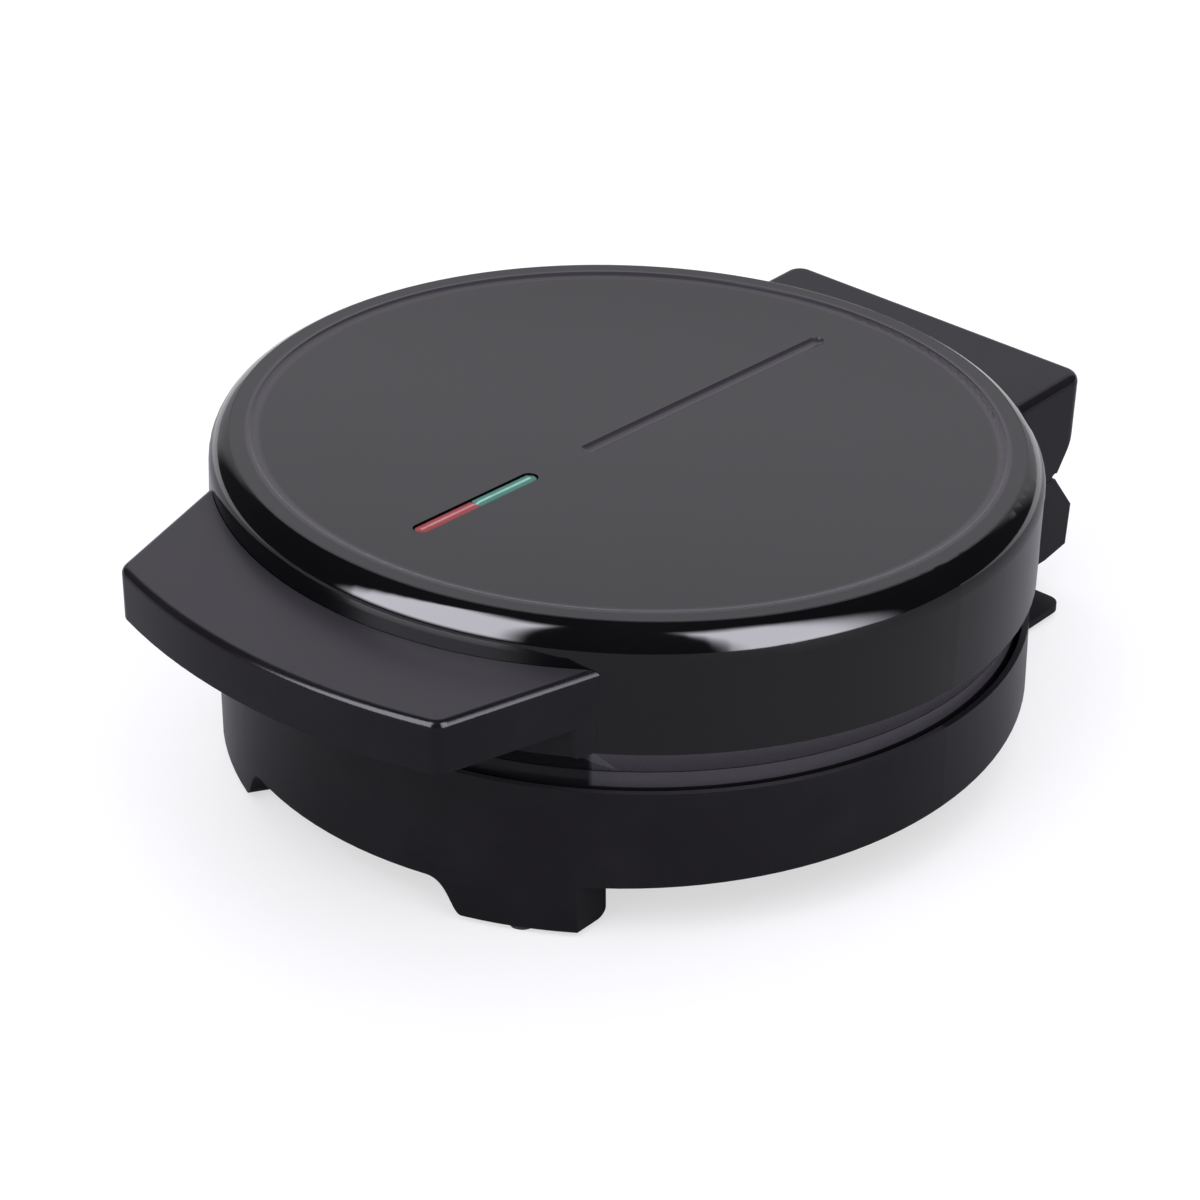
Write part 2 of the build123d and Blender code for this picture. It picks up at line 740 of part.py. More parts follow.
# Indicator lamps under the window: two coloured lenses, a light box and two neon bulbs
window_cut = Plane(origin=seam.origin + seam.y_dir * window_mid, x_dir=seam.x_dir, z_dir=seam.y_dir)


def lens(keep, shift):
    """Half of the window's lens strip, with the flange that holds it under the cover."""
    with BuildPart() as strip:
        with BuildSketch(seam.offset(ceiling_h)):
            with Locations((0, window_mid)):
                SlotOverall(window_len - 2 * lens_slip, line_width - 2 * lens_slip, rotation=90)
        extrude(amount=wall - lens_sink)
        with BuildSketch(seam.offset(ceiling_h)):
            with Locations((0, window_mid)):
                SlotOverall(window_len + 2 * lens_flange, line_width + 2 * lens_flange, rotation=90)
        extrude(amount=-lens_flange_t)
        split(bisect_by=window_cut.offset(shift), keep=keep)
    return strip.part


save(lens(Keep.BOTTOM, -lens_slip / 2), "red_lens")
save(lens(Keep.TOP, lens_slip / 2), "green_lens")

with BuildPart() as lamp_holder:
    with BuildSketch(seam.offset(ceiling_h - lamp_box_h)):
        with Locations((0, window_mid)):
            SlotOverall(window_len + 2 * lamp_box_side, line_width + 2 * lamp_box_side, rotation=90)
    extrude(amount=lamp_box_h)
    with BuildSketch(seam.offset(ceiling_h - lamp_box_h + lamp_box_wall)):
        with Locations((0, window_mid)):
            SlotOverall(window_len + 2 * lamp_box_in, line_width + 2 * lamp_box_in, rotation=90)
    extrude(amount=lamp_box_h, mode=Mode.SUBTRACT)
    with BuildSketch(seam.offset(ceiling_h - lamp_box_h)):
        with Locations((0, window_mid)):
            Rectangle(line_width + lamp_box_side + lamp_box_in, lamp_box_wall)
    extrude(amount=lamp_box_h - lens_flange_t - shell_gap)
save(lamp_holder.part, "lamp_holder")

for lamp_name, lamp_y in (("red_lamp", window_mid - window_len / 4), ("green_lamp", window_mid + window_len / 4)):
    lamp_h = ceiling_h - lamp_box_h + lamp_box_wall + lamp_r + contact
    middle = seam.origin + seam.y_dir * lamp_y + seam.z_dir * lamp_h
    with BuildPart(Plane(origin=middle, x_dir=seam.x_dir, z_dir=seam.y_dir)) as lamp:
        Cylinder(lamp_r, lamp_len - 2 * lamp_r)
        with Locations((0, 0, lamp_len / 2 - lamp_r), (0, 0, lamp_r - lamp_len / 2)):
            Sphere(lamp_r)
    save(lamp.part, lamp_name)

# Tub: the round outer bottom with a floor, an apron and two front legs
def leg_place(angle):
    """Middle of a leg's foot pad, to the right of the front by an angle in degrees."""
    radius = tub_r - leg_depth / 2
    return (radius * math.sin(math.radians(angle)), -radius * math.cos(math.radians(angle)))


def leg(angle):
    """A leg on the right of the front: curved towards the middle, flat and square on the outer side."""
    turn = math.radians(angle)
    side = tub_r * math.sin(turn + math.asin(leg_half / tub_r))
    face = Plane(
        origin=(0, 0, 0),
        x_dir=(math.cos(turn), math.sin(turn), 0),
        z_dir=(math.sin(turn), -math.cos(turn), 0),
    )
    with BuildPart() as solid:
        with BuildSketch(face):
            with BuildLine():
                Polyline(
                    (-leg_half, leg_bottom),
                    (2 * leg_half, leg_bottom),
                    (2 * leg_half, floor_top),
                    (-2 * leg_half - leg_flare, floor_top),
                    (-2 * leg_half - leg_flare, apron_bottom),
                    (-leg_half - leg_flare, apron_bottom),
                )
                Bezier(
                    (-leg_half - leg_flare, apron_bottom),
                    (-leg_half - leg_flare / 3, apron_bottom),
                    (-leg_half - leg_flare / 3, leg_bottom),
                    (-leg_half, leg_bottom),
                )
            make_face()
        extrude(amount=2 * tub_r)
        with BuildSketch(Plane.XY):
            Circle(tub_r)
            Circle(tub_r - leg_depth, mode=Mode.SUBTRACT)
            with Locations((side - tub_r, -tub_r)):
                Rectangle(2 * tub_r, 2 * tub_r, mode=Mode.INTERSECT)
        extrude(amount=floor_top, mode=Mode.INTERSECT)
        arcs = solid.edges().filter_by(GeomType.CIRCLE)
        inner_arcs = arcs.filter_by(lambda arc: arc.radius < tub_r - leg_depth / 2)
        fillet(inner_arcs.sort_by(Axis.Z)[0], leg_corner_r)
        with BuildSketch(Plane.XY):
            with Locations(leg_place(angle)):
                Circle(rubber_r + screw_slip)
        extrude(amount=leg_bottom + rubber_sink, mode=Mode.SUBTRACT)
    return solid.part


with BuildPart() as base_tub:
    with BuildSketch(Plane.XY.offset(tub_bottom)):
        Circle(tub_r)
    extrude(amount=seam_z)
    split(bisect_by=seam.offset(-tub_drop), keep=Keep.BOTTOM)
    with BuildSketch(Plane.XY.offset(floor_top)):
        Circle(tub_r - tub_wall)
    extrude(amount=seam_z, mode=Mode.SUBTRACT)
    with BuildSketch(Plane.XY.offset(apron_bottom)):
        Circle(tub_r)
        Circle(tub_r - tub_wall, mode=Mode.SUBTRACT)
        with Locations((0, -tub_r)):
            apron_half = tub_r * math.sin(math.radians(apron_angle))
            Rectangle(2 * apron_half, tub_r, mode=Mode.INTERSECT)
    extrude(amount=floor_top - apron_bottom)
    add(leg(right_leg_angle))
    add(leg(left_leg_angle).mirror(Plane.YZ))
    with BuildSketch(Plane.XY.offset(floor_top)):
        with Locations(*tub_boss_places):
            Circle(boss_r)
    extrude(amount=tub_boss_h)
    with BuildSketch(Plane.XY.offset(tub_bottom)):
        with Locations(*tub_boss_places, *on_circle(base_screw_circle, base_screw_angles)):
            Circle(screw_r + screw_slip)
        with PolarLocations(vent_circle, vent_count, start_angle=180 / vent_count):
            SlotOverall(vent_len, vent_w)
        with Locations((cord_x, neck_back - neck_wall - cable_hole / 2)):
            Rectangle(cable_hole, cable_hole)
    extrude(amount=tub_floor + tub_boss_h + spare, mode=Mode.SUBTRACT)
save(base_tub.part, "base_tub")

# Base ring: carries the lower plate and shows as the band between the lid and the tub
with BuildPart() as ring_bosses:
    with BuildSketch(Plane.XY.offset(floor_top)):
        with Locations(*on_circle(base_screw_circle, base_screw_angles)):
            Circle(boss_r)
    extrude(amount=seam_z)
    split(bisect_by=seam.offset(-(ledge_t + ledge_low) / 2), keep=Keep.BOTTOM)

with BuildPart() as base_ring:
    with BuildSketch(section_of(base_side)):
        with BuildLine():
            Polyline(
                (ring_bore, half_gap),
                (ring_r, half_gap),
                (ring_r, ring_skirt),
                (ring_r - wall, ring_skirt),
                (ring_r - wall, ledge_low),
                (ledge_bore, ledge_low),
                (ledge_bore, ledge_t),
                (ring_bore, ledge_t),
                close=True,
            )
        make_face()
    revolve(axis=Axis(base_side.origin, base_side.z_dir))
    add(ring_bosses.part)
    with BuildSketch(Plane.XY.offset(floor_top)):
        with Locations(*on_circle(base_screw_circle, base_screw_angles)):
            Circle(screw_r + screw_slip)
    extrude(amount=base_screw_len, mode=Mode.SUBTRACT)
save(base_ring.part, "base_ring")

with BuildPart() as base_screws:
    with BuildSketch(Plane.XY.offset(tub_bottom - screw_head_t)):
        with Locations(*on_circle(base_screw_circle, base_screw_angles)):
            Circle(screw_head_r)
    extrude(amount=screw_head_t)
    with BuildSketch(Plane.XY.offset(tub_bottom)):
        with Locations(*on_circle(base_screw_circle, base_screw_angles)):
            Circle(screw_r)
    extrude(amount=base_screw_len)
save(base_screws.part, "base_screws")

# Hinge block: a hollow box behind the tub with four knuckles for the pins
with BuildPart() as hinge_block:
    with BuildSketch(Plane.YZ.offset(-hinge_half)):
        with BuildLine():
            Polyline(*block_profile(), close=True)
        make_face()
    extrude(amount=2 * hinge_half)
    with BuildSketch(Plane.YZ.offset(wall - hinge_half)):
        with BuildLine():
            Polyline(*block_profile(), close=True)
        make_face()
        offset(amount=-wall, kind=Kind.INTERSECTION)
    extrude(amount=2 * (hinge_half - wall), mode=Mode.SUBTRACT)
    for knuckle in knuckles:
        with BuildSketch(Plane.YZ.offset(knuckle - knuckle_w / 2)):
            with BuildLine():
                Polyline(
                    (hinge_y - 3 * knuckle_r, seam_height(hinge_y - 3 * knuckle_r) - half_gap),
                    (hinge_y, hinge_z),
                    (hinge_y, hinge_z - knuckle_r),
                    (hinge_y + knuckle_r, hinge_z - 2 * knuckle_r),
                    (hinge_y - 3 * knuckle_r, hinge_z - 2 * knuckle_r),
                    close=True,
                )
            make_face()
        extrude(amount=knuckle_w)
    for ear in ears:
        with BuildSketch(Plane.YZ.offset(ear - knuckle_w / 2 - knuckle_side)):
            with Locations((hinge_y, hinge_z)):
                Circle(knuckle_r + knuckle_slip)
        extrude(amount=knuckle_w + 2 * knuckle_side, mode=Mode.SUBTRACT)
    split(bisect_by=seam.offset(-half_gap), keep=Keep.BOTTOM)
    with BuildSketch(Plane.XY):
        Circle(tub_r + shell_gap)
    extrude(amount=2 * seam_z, mode=Mode.SUBTRACT)
    for knuckle in knuckles:
        with BuildSketch(Plane.YZ.offset(knuckle - knuckle_w / 2)):
            with Locations((hinge_y, hinge_z)):
                Circle(knuckle_r)
                Circle(pin_r - pin_grip, mode=Mode.SUBTRACT)
        extrude(amount=knuckle_w)
        with BuildSketch(Plane.YZ.offset(knuckle - knuckle_w / 2)):
            with Locations((hinge_y, hinge_z)):
                Circle(pin_r - pin_grip)
        extrude(amount=knuckle_w, mode=Mode.SUBTRACT)
    with BuildSketch(Plane.XY.offset(tub_bottom - wall)):
        with Locations(*tab_places):
            Rectangle(tab_w, tab_len)
        with Locations(*tab_screw_places):
            Circle(screw_r + screw_slip, mode=Mode.SUBTRACT)
    extrude(amount=wall)
save(hinge_block.part, "hinge_block")

with BuildPart() as hinge_pins:
    for ear in ears:
        with BuildSketch(Plane.YZ.offset(ear - pin_len / 2)):
            with Locations((hinge_y, hinge_z)):
                Circle(pin_r)
        extrude(amount=pin_len)
save(hinge_pins.part, "hinge_pins")

with BuildPart() as hinge_block_screws:
    with BuildSketch(Plane.XY.offset(tub_bottom - wall - small_head_t)):
        with Locations(*tab_screw_places):
            Circle(screw_head_r)
    extrude(amount=small_head_t)
    with BuildSketch(Plane.XY.offset(tub_bottom - wall)):
        with Locations(*tab_screw_places):
            Circle(screw_r)
    extrude(amount=wall + tub_floor + tub_boss_h)
save(hinge_block_screws.part, "hinge_block_screws")

# Rear foot: a flat plate and a hollow neck, between which and the hinge block the cord is wound
with BuildPart() as cord_wrap_foot:
    with BuildSketch(Plane.XY.offset(leg_bottom)):
        with Locations((0, (foot_front + foot_back) / 2)):
            RectangleRounded(2 * foot_half, foot_len, foot_corner_r)
    extrude(amount=foot_t)
    with BuildSketch(Plane.XY.offset(foot_top)):
        with Locations((0, neck_boss_y)):
            Rectangle(2 * neck_half, neck_len)
            Rectangle(2 * (neck_half - neck_wall), neck_len - 2 * neck_wall, mode=Mode.SUBTRACT)
        with Locations(*neck_boss_places):
            Circle(boss_r)
    extrude(amount=neck_h)
    with BuildSketch(Plane.XY.offset(leg_bottom)):
        with Locations(*neck_boss_places):
            Circle(screw_r + screw_slip)
    extrude(amount=tub_bottom, mode=Mode.SUBTRACT)
    with BuildSketch(Plane.XY.offset(leg_bottom)):
        with Locations(*neck_boss_places):
            Circle(screw_head_r + screw_slip)
        with Locations(*rear_rubber_places):
            Circle(rubber_r + screw_slip)
    extrude(amount=rubber_sink, mode=Mode.SUBTRACT)
    with BuildSketch(Plane.XZ.offset(-neck_back)):
        with Locations((cord_x, cord_z)):
            Circle(cord_r + bush_wall + screw_slip)
    extrude(amount=neck_wall + spare, mode=Mode.SUBTRACT)
save(cord_wrap_foot.part, "cord_wrap_foot")

with BuildPart() as cord_wrap_screws:
    with BuildSketch(Plane.XY.offset(leg_bottom + rubber_sink - small_head_t)):
        with Locations(*neck_boss_places):
            Circle(screw_head_r)
    extrude(amount=small_head_t)
    with BuildSketch(Plane.XY.offset(leg_bottom + rubber_sink)):
        with Locations(*neck_boss_places):
            Circle(screw_r)
    extrude(amount=floor_top + tub_boss_h - leg_bottom - rubber_sink - spare)
save(cord_wrap_screws.part, "cord_wrap_screws")

with BuildPart() as cord_bush:
    with BuildSketch(Plane.XZ.offset(-neck_back)):
        with Locations((cord_x, cord_z)):
            Circle(cord_r + bush_wall + bush_flange)
            Circle(cord_r, mode=Mode.SUBTRACT)
    extrude(amount=-bush_flange_t)
    with BuildSketch(Plane.XZ.offset(-neck_back)):
        with Locations((cord_x, cord_z)):
            Circle(cord_r + bush_wall)
            Circle(cord_r, mode=Mode.SUBTRACT)
    extrude(amount=bush_len)
save(cord_bush.part, "cord_bush")

with BuildPart() as rubber_feet:
    with BuildSketch(Plane.XY):
        with Locations(*rear_rubber_places):
            Circle(rubber_r)
        left_x, left_y = leg_place(left_leg_angle)
        with Locations(leg_place(right_leg_angle), (-left_x, left_y)):
            Circle(rubber_r)
    extrude(amount=leg_bottom + rubber_sink)
save(rubber_feet.part, "rubber_feet")

# Electrical fittings on the tub's floor and under the lower plate
with BuildPart() as terminal_block:
    with BuildSketch(Plane.XY.offset(floor_top)):
        with Locations((terminal_x, terminal_y)):
            Rectangle(terminal_len, terminal_w)
    extrude(amount=terminal_h)
    with BuildSketch(Plane.XY.offset(floor_top + terminal_h)):
        with Locations((terminal_x, terminal_y)):
            with GridLocations(terminal_len / 3, 1, 3, 1):
                Circle(terminal_w / 4)
    extrude(amount=-terminal_h / 2, mode=Mode.SUBTRACT)
save(terminal_block.part, "terminal_block")

with BuildPart() as cord_clamp:
    with BuildSketch(Plane.XZ.offset(-clamp_y)):
        with Locations((clamp_x, floor_top + clamp_h / 2)):
            Rectangle(clamp_len, clamp_h)
        with Locations((clamp_x, floor_top)):
            Circle(cord_r, mode=Mode.SUBTRACT)
    extrude(amount=clamp_w)
save(cord_clamp.part, "cord_clamp")

fuse_h = plate_back + contact + fuse_r
fuse_middle = base_side.origin + base_side.y_dir * fuse_y + base_side.z_dir * fuse_h
with BuildPart(Plane(origin=fuse_middle, x_dir=base_side.z_dir, z_dir=base_side.x_dir)) as thermal_fuse:
    Cylinder(fuse_r, fuse_len)
    Cylinder(fuse_wire_r, fuse_len + 2 * fuse_wire)
save(thermal_fuse.part, "thermal_fuse")


# Leads: plain tubes from the elements' tails and the lamps to the thermostat and the terminal block
def leads(plane, routes):
    """One tube of lead along each route, given as points on a plane and their heights above it."""
    with BuildPart() as tubes:
        for points in routes:
            with BuildLine(plane) as route:
                if len(points) > 2:
                    FilletPolyline(*points, radius=lead_bend)
                else:
                    Line(*points)
            wire = route.wires()[0]
            with BuildSketch(Plane(origin=wire @ 0, z_dir=wire % 0)):
                Circle(lead_r)
            sweep(path=wire)
    return tubes.part


turn = math.radians(element_open)
tail_reach = element_ring_r + element_bend + element_tail + pin_terminal_len
tail_x = tail_reach * math.sin(turn) - element_bend * math.cos(turn)
tail_y = tail_reach * math.cos(turn) + element_bend * math.sin(turn)
out_x = lead_out * math.sin(turn)
out_y = lead_out * math.cos(turn)
tag_x = thermostat_r / 2
tag_side = tag_w / 2 + lead_gap
tag_joint_h = plate_back + thermostat_h + tag_h / 2
lamp_h = ceiling_h - lamp_box_h / 2
lid_routes = []
for way in (-1, 1):
    lid_routes.append(
        [
            (way * lamp_box_in, window_back + lamp_box_side, lamp_h),
            (way * tag_x, thermostat_y - tag_side - lead_out, lamp_h),
            (way * tag_x, thermostat_y - tag_side, tag_joint_h),
        ]
    )
    lid_routes.append(
        [
            (way * tail_x, tail_y, element_h),
            (way * (tail_x + out_x), tail_y + out_y, element_h),
            (way * (tail_x + out_x), tail_y + out_y, tag_joint_h),
            (way * tag_x, thermostat_y + tag_side, tag_joint_h),
        ]
    )
save(leads(seam, lid_routes), "lid_leads")

joint_z = floor_top + terminal_h / 2
block_end = Vector(terminal_x + terminal_len / 2 + lead_gap, terminal_y, joint_z)
block_front = Vector(-tail_x, terminal_y - terminal_w / 2 - lead_gap, joint_z)
base_routes = [
    [
        (-tail_x, tail_y, element_h),
        (-tail_x - out_x, tail_y + out_y, element_h),
        tuple(base_side.to_local_coords(block_end)),
    ],
    [(tail_x, tail_y + lead_gap, element_h), tuple(base_side.to_local_coords(block_front))],
]
save(leads(base_side, base_routes), "base_leads")
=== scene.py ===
"""A round waffle maker, closed, on a pale studio floor.

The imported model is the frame: its shells, plates and fittings stay where they are and get their
finishes here. Pieces whose small forms the solids leave out, such as screw heads with a cross recess,
plates with cast radii and crowned lenses, are modelled new and stand for their nodes.
"""

import logging
import math
from collections.abc import Callable
from dataclasses import dataclass, field
from enum import Enum

import bmesh
import bpy
from mathutils import Matrix, Vector

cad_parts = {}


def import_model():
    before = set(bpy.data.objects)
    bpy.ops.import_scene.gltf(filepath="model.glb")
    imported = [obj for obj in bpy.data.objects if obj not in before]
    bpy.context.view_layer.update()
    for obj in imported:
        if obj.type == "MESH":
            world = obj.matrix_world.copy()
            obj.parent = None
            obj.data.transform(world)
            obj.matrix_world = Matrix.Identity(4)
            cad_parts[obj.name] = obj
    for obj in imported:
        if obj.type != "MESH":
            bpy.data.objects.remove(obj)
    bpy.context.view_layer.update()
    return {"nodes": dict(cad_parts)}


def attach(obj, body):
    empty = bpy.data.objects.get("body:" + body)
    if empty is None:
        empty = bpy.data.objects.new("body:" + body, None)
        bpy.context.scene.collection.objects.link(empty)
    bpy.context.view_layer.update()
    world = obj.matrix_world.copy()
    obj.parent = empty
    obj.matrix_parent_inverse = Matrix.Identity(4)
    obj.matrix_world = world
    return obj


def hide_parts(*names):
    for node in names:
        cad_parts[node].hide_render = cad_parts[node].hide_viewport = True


LOG = logging.getLogger("waffle_maker")
MM = 0.001
WELD = 0.001 * MM
SEAM_TILT = math.radians(3.0)
SEAM_Z = 42.0 * MM
SEAM_UP = Vector((0.0, math.sin(SEAM_TILT), math.cos(SEAM_TILT)))
SEAM_BACK = Vector((0.0, math.cos(SEAM_TILT), -math.sin(SEAM_TILT)))
UP = Vector((0.0, 0.0, 1.0))


@dataclass(frozen=True)
class Slot:
    """A round-ended slot along the middle of the panel, told by its ends behind the axis."""

    front: float
    back: float
    half: float = 2.25 * MM

    @property
    def middle(self) -> float:
        """Its middle, behind the axis."""
        return (self.front + self.back) / 2

    @property
    def run(self) -> float:
        """From its middle to the centre of a round end."""
        return (self.back - self.front) / 2 - self.half


WINDOW = Slot(front=-77.0 * MM, back=-34.6 * MM)
GROOVE = Slot(front=-16.7 * MM, back=77.6 * MM)


class Body(Enum):
    """The two bodies that the hinge joins."""

    BASE = "base"
    LID = "lid"


# --------------------------------------------------------------------------------------------------
# Shader maths
# --------------------------------------------------------------------------------------------------


class Value:
    """A shader socket that can be used in Python expressions."""

    def __init__(self, graph: "Graph", source: bpy.types.NodeSocket | None) -> None:
        """Take over a socket.

        Args:
            graph: the graph that new nodes go into.
            source: an output socket, or nothing for a node that has none.
        """
        self.graph = graph
        self.source = source

    def _math(self, operation: str, *terms: object) -> "Value":
        """Add one Math node on these terms."""
        return self.graph.node("ShaderNodeMath", {"operation": operation}, dict(enumerate(terms)))

    def __add__(self, other: object) -> "Value":
        """Sum."""
        return self._math("ADD", self, other)

    __radd__ = __add__

    def __sub__(self, other: object) -> "Value":
        """Difference."""
        return self._math("SUBTRACT", self, other)

    def __rsub__(self, other: object) -> "Value":
        """Difference from a number."""
        return self._math("SUBTRACT", other, self)

    def __mul__(self, other: object) -> "Value":
        """Product."""
        return self._math("MULTIPLY", self, other)

    __rmul__ = __mul__

    def swing(self, spread: float) -> "Value":
        """This value from 0 to 1 as a change to both sides of nought."""
        return (self - 0.5) * spread

    def dot(self, way: tuple[float, float, float]) -> "Value":
        """How far this vector runs in a direction."""
        return self.graph.node(
            "ShaderNodeVectorMath", {"operation": "DOT_PRODUCT"}, {0: self, 1: way}, "Value"
        )

    def rise(self) -> "Value":
        """The elevation of this direction, in radians."""
        return self.graph.node("ShaderNodeMath", {"operation": "ARCSINE"}, {0: self.dot(tuple(UP))})

    def above(self, edge: float, soft: float) -> "Value":
        """How far this value is past an edge.

        Args:
            edge: where the step is.
            soft: half the width of the step.

        Returns:
            A mask from 0 to 1.
        """
        return self.graph.node(
            "ShaderNodeMapRange",
            {"interpolation_type": "SMOOTHSTEP"},
            {"Value": self, "From Min": edge - soft, "From Max": edge + soft},
        )


class Graph:
    """The nodes of one material or of the world."""

    MIX_FACTOR, MIX_LOW, MIX_HIGH, MIX_RESULT = 0, 6, 7, 2

    def __init__(self, owner: bpy.types.Material | bpy.types.World) -> None:
        """Clear the nodes of an owner.

        Args:
            owner: the material or world whose nodes are built anew.
        """
        owner.use_nodes = True
        self.owner = owner
        self.tree = owner.node_tree
        self.tree.nodes.clear()
        self._place = None

    @classmethod
    def named(cls, name: str) -> "Graph":
        """The empty graph of a new material."""
        return cls(bpy.data.materials.new(name))

    def node(
        self,
        kind: str,
        settings: dict[str, object] | None = None,
        sockets: dict[str | int, object] | None = None,
        output: str | int = 0,
    ) -> Value:
        """Add a node.

        Args:
            kind: Blender's node type.
            settings: attributes of the node, set before its sockets.
            sockets: values or links of its inputs, by name or number.
            output: the output to return.

        Returns:
            The chosen output.
        """
        made = self.tree.nodes.new(kind)
        for key, value in (settings or {}).items():
            setattr(made, key, value)
        for key, value in (sockets or {}).items():
            target = made.inputs[key]
            if isinstance(value, Value):
                self.tree.links.new(value.source, target)
            elif target.type == "RGBA" and len(value) == 3:
                target.default_value = (*value, 1.0)
            else:
                target.default_value = value
        return Value(self, made.outputs[output] if len(made.outputs) else None)

    def path(self, kind: str) -> Value:
        """1 for one kind of ray, and 0 for the rest."""
        return self.node("ShaderNodeLightPath", output=kind)

    def place(self) -> Value:
        """The point on the piece, in metres."""
        if self._place is None:
            self._place = self.node("ShaderNodeTexCoord", output="Object")
        return self._place

    def across(self) -> Value:
        """How far a point is to the right of the body's axis."""
        return self.place().dot((1.0, 0.0, 0.0))

    def behind(self) -> Value:
        """How far a point is behind the axis, along the lid's plane."""
        return self.place().dot(tuple(SEAM_BACK)) + SEAM_Z * SEAM_UP.y

    def height(self) -> Value:
        """How far a point is above the seam."""
        return self.place().dot(tuple(SEAM_UP)) - SEAM_Z * SEAM_UP.z

    def span(self, first: Value, second: Value) -> Value:
        """The length of two parts at a right angle."""
        squares = first * first + second * second
        return self.node("ShaderNodeMath", {"operation": "SQRT"}, {0: squares})

    def from_slot(self, slot: Slot) -> Value:
        """How far a point is from the middle line of a slot in the panel."""
        offset = self.behind() - slot.middle
        along = self.node("ShaderNodeMath", {"operation": "ABSOLUTE"}, {0: offset})
        past = self.node("ShaderNodeMath", {"operation": "MAXIMUM"}, {0: along - slot.run, 1: 0.0})
        return self.span(self.across(), past)

    def stretched(self, scale: tuple[float, float, float]) -> Value:
        """The point with each axis scaled, for a grain that runs one way."""
        sockets = {"Vector": self.place(), "Scale": scale}
        return self.node("ShaderNodeMapping", {"vector_type": "POINT"}, sockets)

    def noise(
        self,
        scale: float,
        detail: float,
        rough: float = 0.55,
        at: Value | None = None,
    ) -> Value:
        """Soft noise from 0 to 1.

        Args:
            scale: features to the metre.
            detail: how many finer layers it has.
            rough: the share of each finer layer.
            at: where it is looked up, or nothing for the point on the piece.

        Returns:
            The noise.
        """
        sockets = {"Vector": at or self.place(), "Scale": scale, "Detail": detail, "Roughness": rough}
        return self.node("ShaderNodeTexNoise", {"noise_dimensions": "3D"}, sockets)

    def cells(self, scale: float) -> Value:
        """Distance to the nearest of scattered points, with a number of points to the metre."""
        sockets = {"Vector": self.place(), "Scale": scale}
        return self.node("ShaderNodeTexVoronoi", {"feature": "F1"}, sockets)

    def blend(self, mask: Value, low: object, high: object) -> Value:
        """A colour between two others."""
        sockets = {self.MIX_FACTOR: mask, self.MIX_LOW: low, self.MIX_HIGH: high}
        return self.node("ShaderNodeMix", {"data_type": "RGBA"}, sockets, self.MIX_RESULT)

    def bump(self, height: Value, depth: float, strength: float) -> Value:
        """A surface relief.

        Args:
            height: the relief, from 0 to 1.
            depth: its height in metres.
            strength: how much of it shows.

        Returns:
            The normal.
        """
        sockets = {"Height": height, "Distance": depth, "Strength": strength}
        return self.node("ShaderNodeBump", {}, sockets)

    def surface(self, sockets: dict[str | int, object]) -> bpy.types.Material:
        """Finish the material with a Principled surface and these sockets."""
        shader = self.node("ShaderNodeBsdfPrincipled", {}, sockets, "BSDF")
        self.node("ShaderNodeOutputMaterial", {}, {"Surface": shader})
        return self.owner


# --------------------------------------------------------------------------------------------------
# Finishes
# --------------------------------------------------------------------------------------------------

Colour = tuple[float, float, float]


@dataclass(frozen=True)
class GlossShell:
    """The lid's polished dark moulding: a smooth skin with a trace of waviness and handling haze.

    The panel's lip and the groove get a paler colour and a duller finish: painted shading in these
    hollows.
    """

    name: str = "gloss_shell"
    colour: Colour = (0.0024, 0.0021, 0.0027)
    haze_colour: Colour = (0.0038, 0.0035, 0.0042)
    roughness: float = 0.05
    haze: float = 0.025
    ior: float = 1.45
    wave_depth: float = 0.012 * MM
    dust: Colour = (0.035, 0.034, 0.036)
    dust_roughness: float = 0.25
    # Painted shading: a paler, duller colour in the lip's hollow and in the groove.
    painted_hollow_shade: Colour = (0.036, 0.0335, 0.038)
    hollow_roughness: float = 0.16
    hollow_in: float = 92.6 * MM
    hollow_out: float = 95.9 * MM
    hollow_above: float = 37.0 * MM

    def painted_hollows(self, g: Graph) -> Value:
        """Where the panel's lip and the groove are, which get the painted shading."""
        reach = g.span(g.across(), g.behind())
        lip = reach.above(self.hollow_in, 0.7 * MM) * (1 - reach.above(self.hollow_out, 0.3 * MM))
        scoop = 1 - g.from_slot(GROOVE).above(GROOVE.half, 0.2 * MM)
        return (lip + scoop) * g.height().above(self.hollow_above, 0.5 * MM)

    def material(self) -> bpy.types.Material:
        """Build the material."""
        g = Graph.named(self.name)
        smear = g.noise(scale=24.0, detail=4.0, rough=0.6).above(0.56, 0.22)
        speck = 1 - g.cells(scale=900.0).above(0.055, 0.02)
        dust = speck * g.noise(scale=130.0, detail=2.0).above(0.6, 0.06)
        painted_hollow_shade = self.painted_hollows(g)
        # The lip's hollow and the groove get the painted shading.
        skin = g.blend(painted_hollow_shade, g.blend(smear, self.colour, self.haze_colour), self.painted_hollow_shade)
        dull = smear * self.haze + dust * self.dust_roughness + painted_hollow_shade * self.hollow_roughness
        peel = g.noise(scale=160.0, detail=1.0, rough=0.3)
        return g.surface(
            {
                "Base Color": g.blend(dust, skin, self.dust),
                "Roughness": dull + self.roughness,
                "IOR": self.ior,
                "Normal": g.bump(peel, self.wave_depth, strength=0.35),
            }
        )


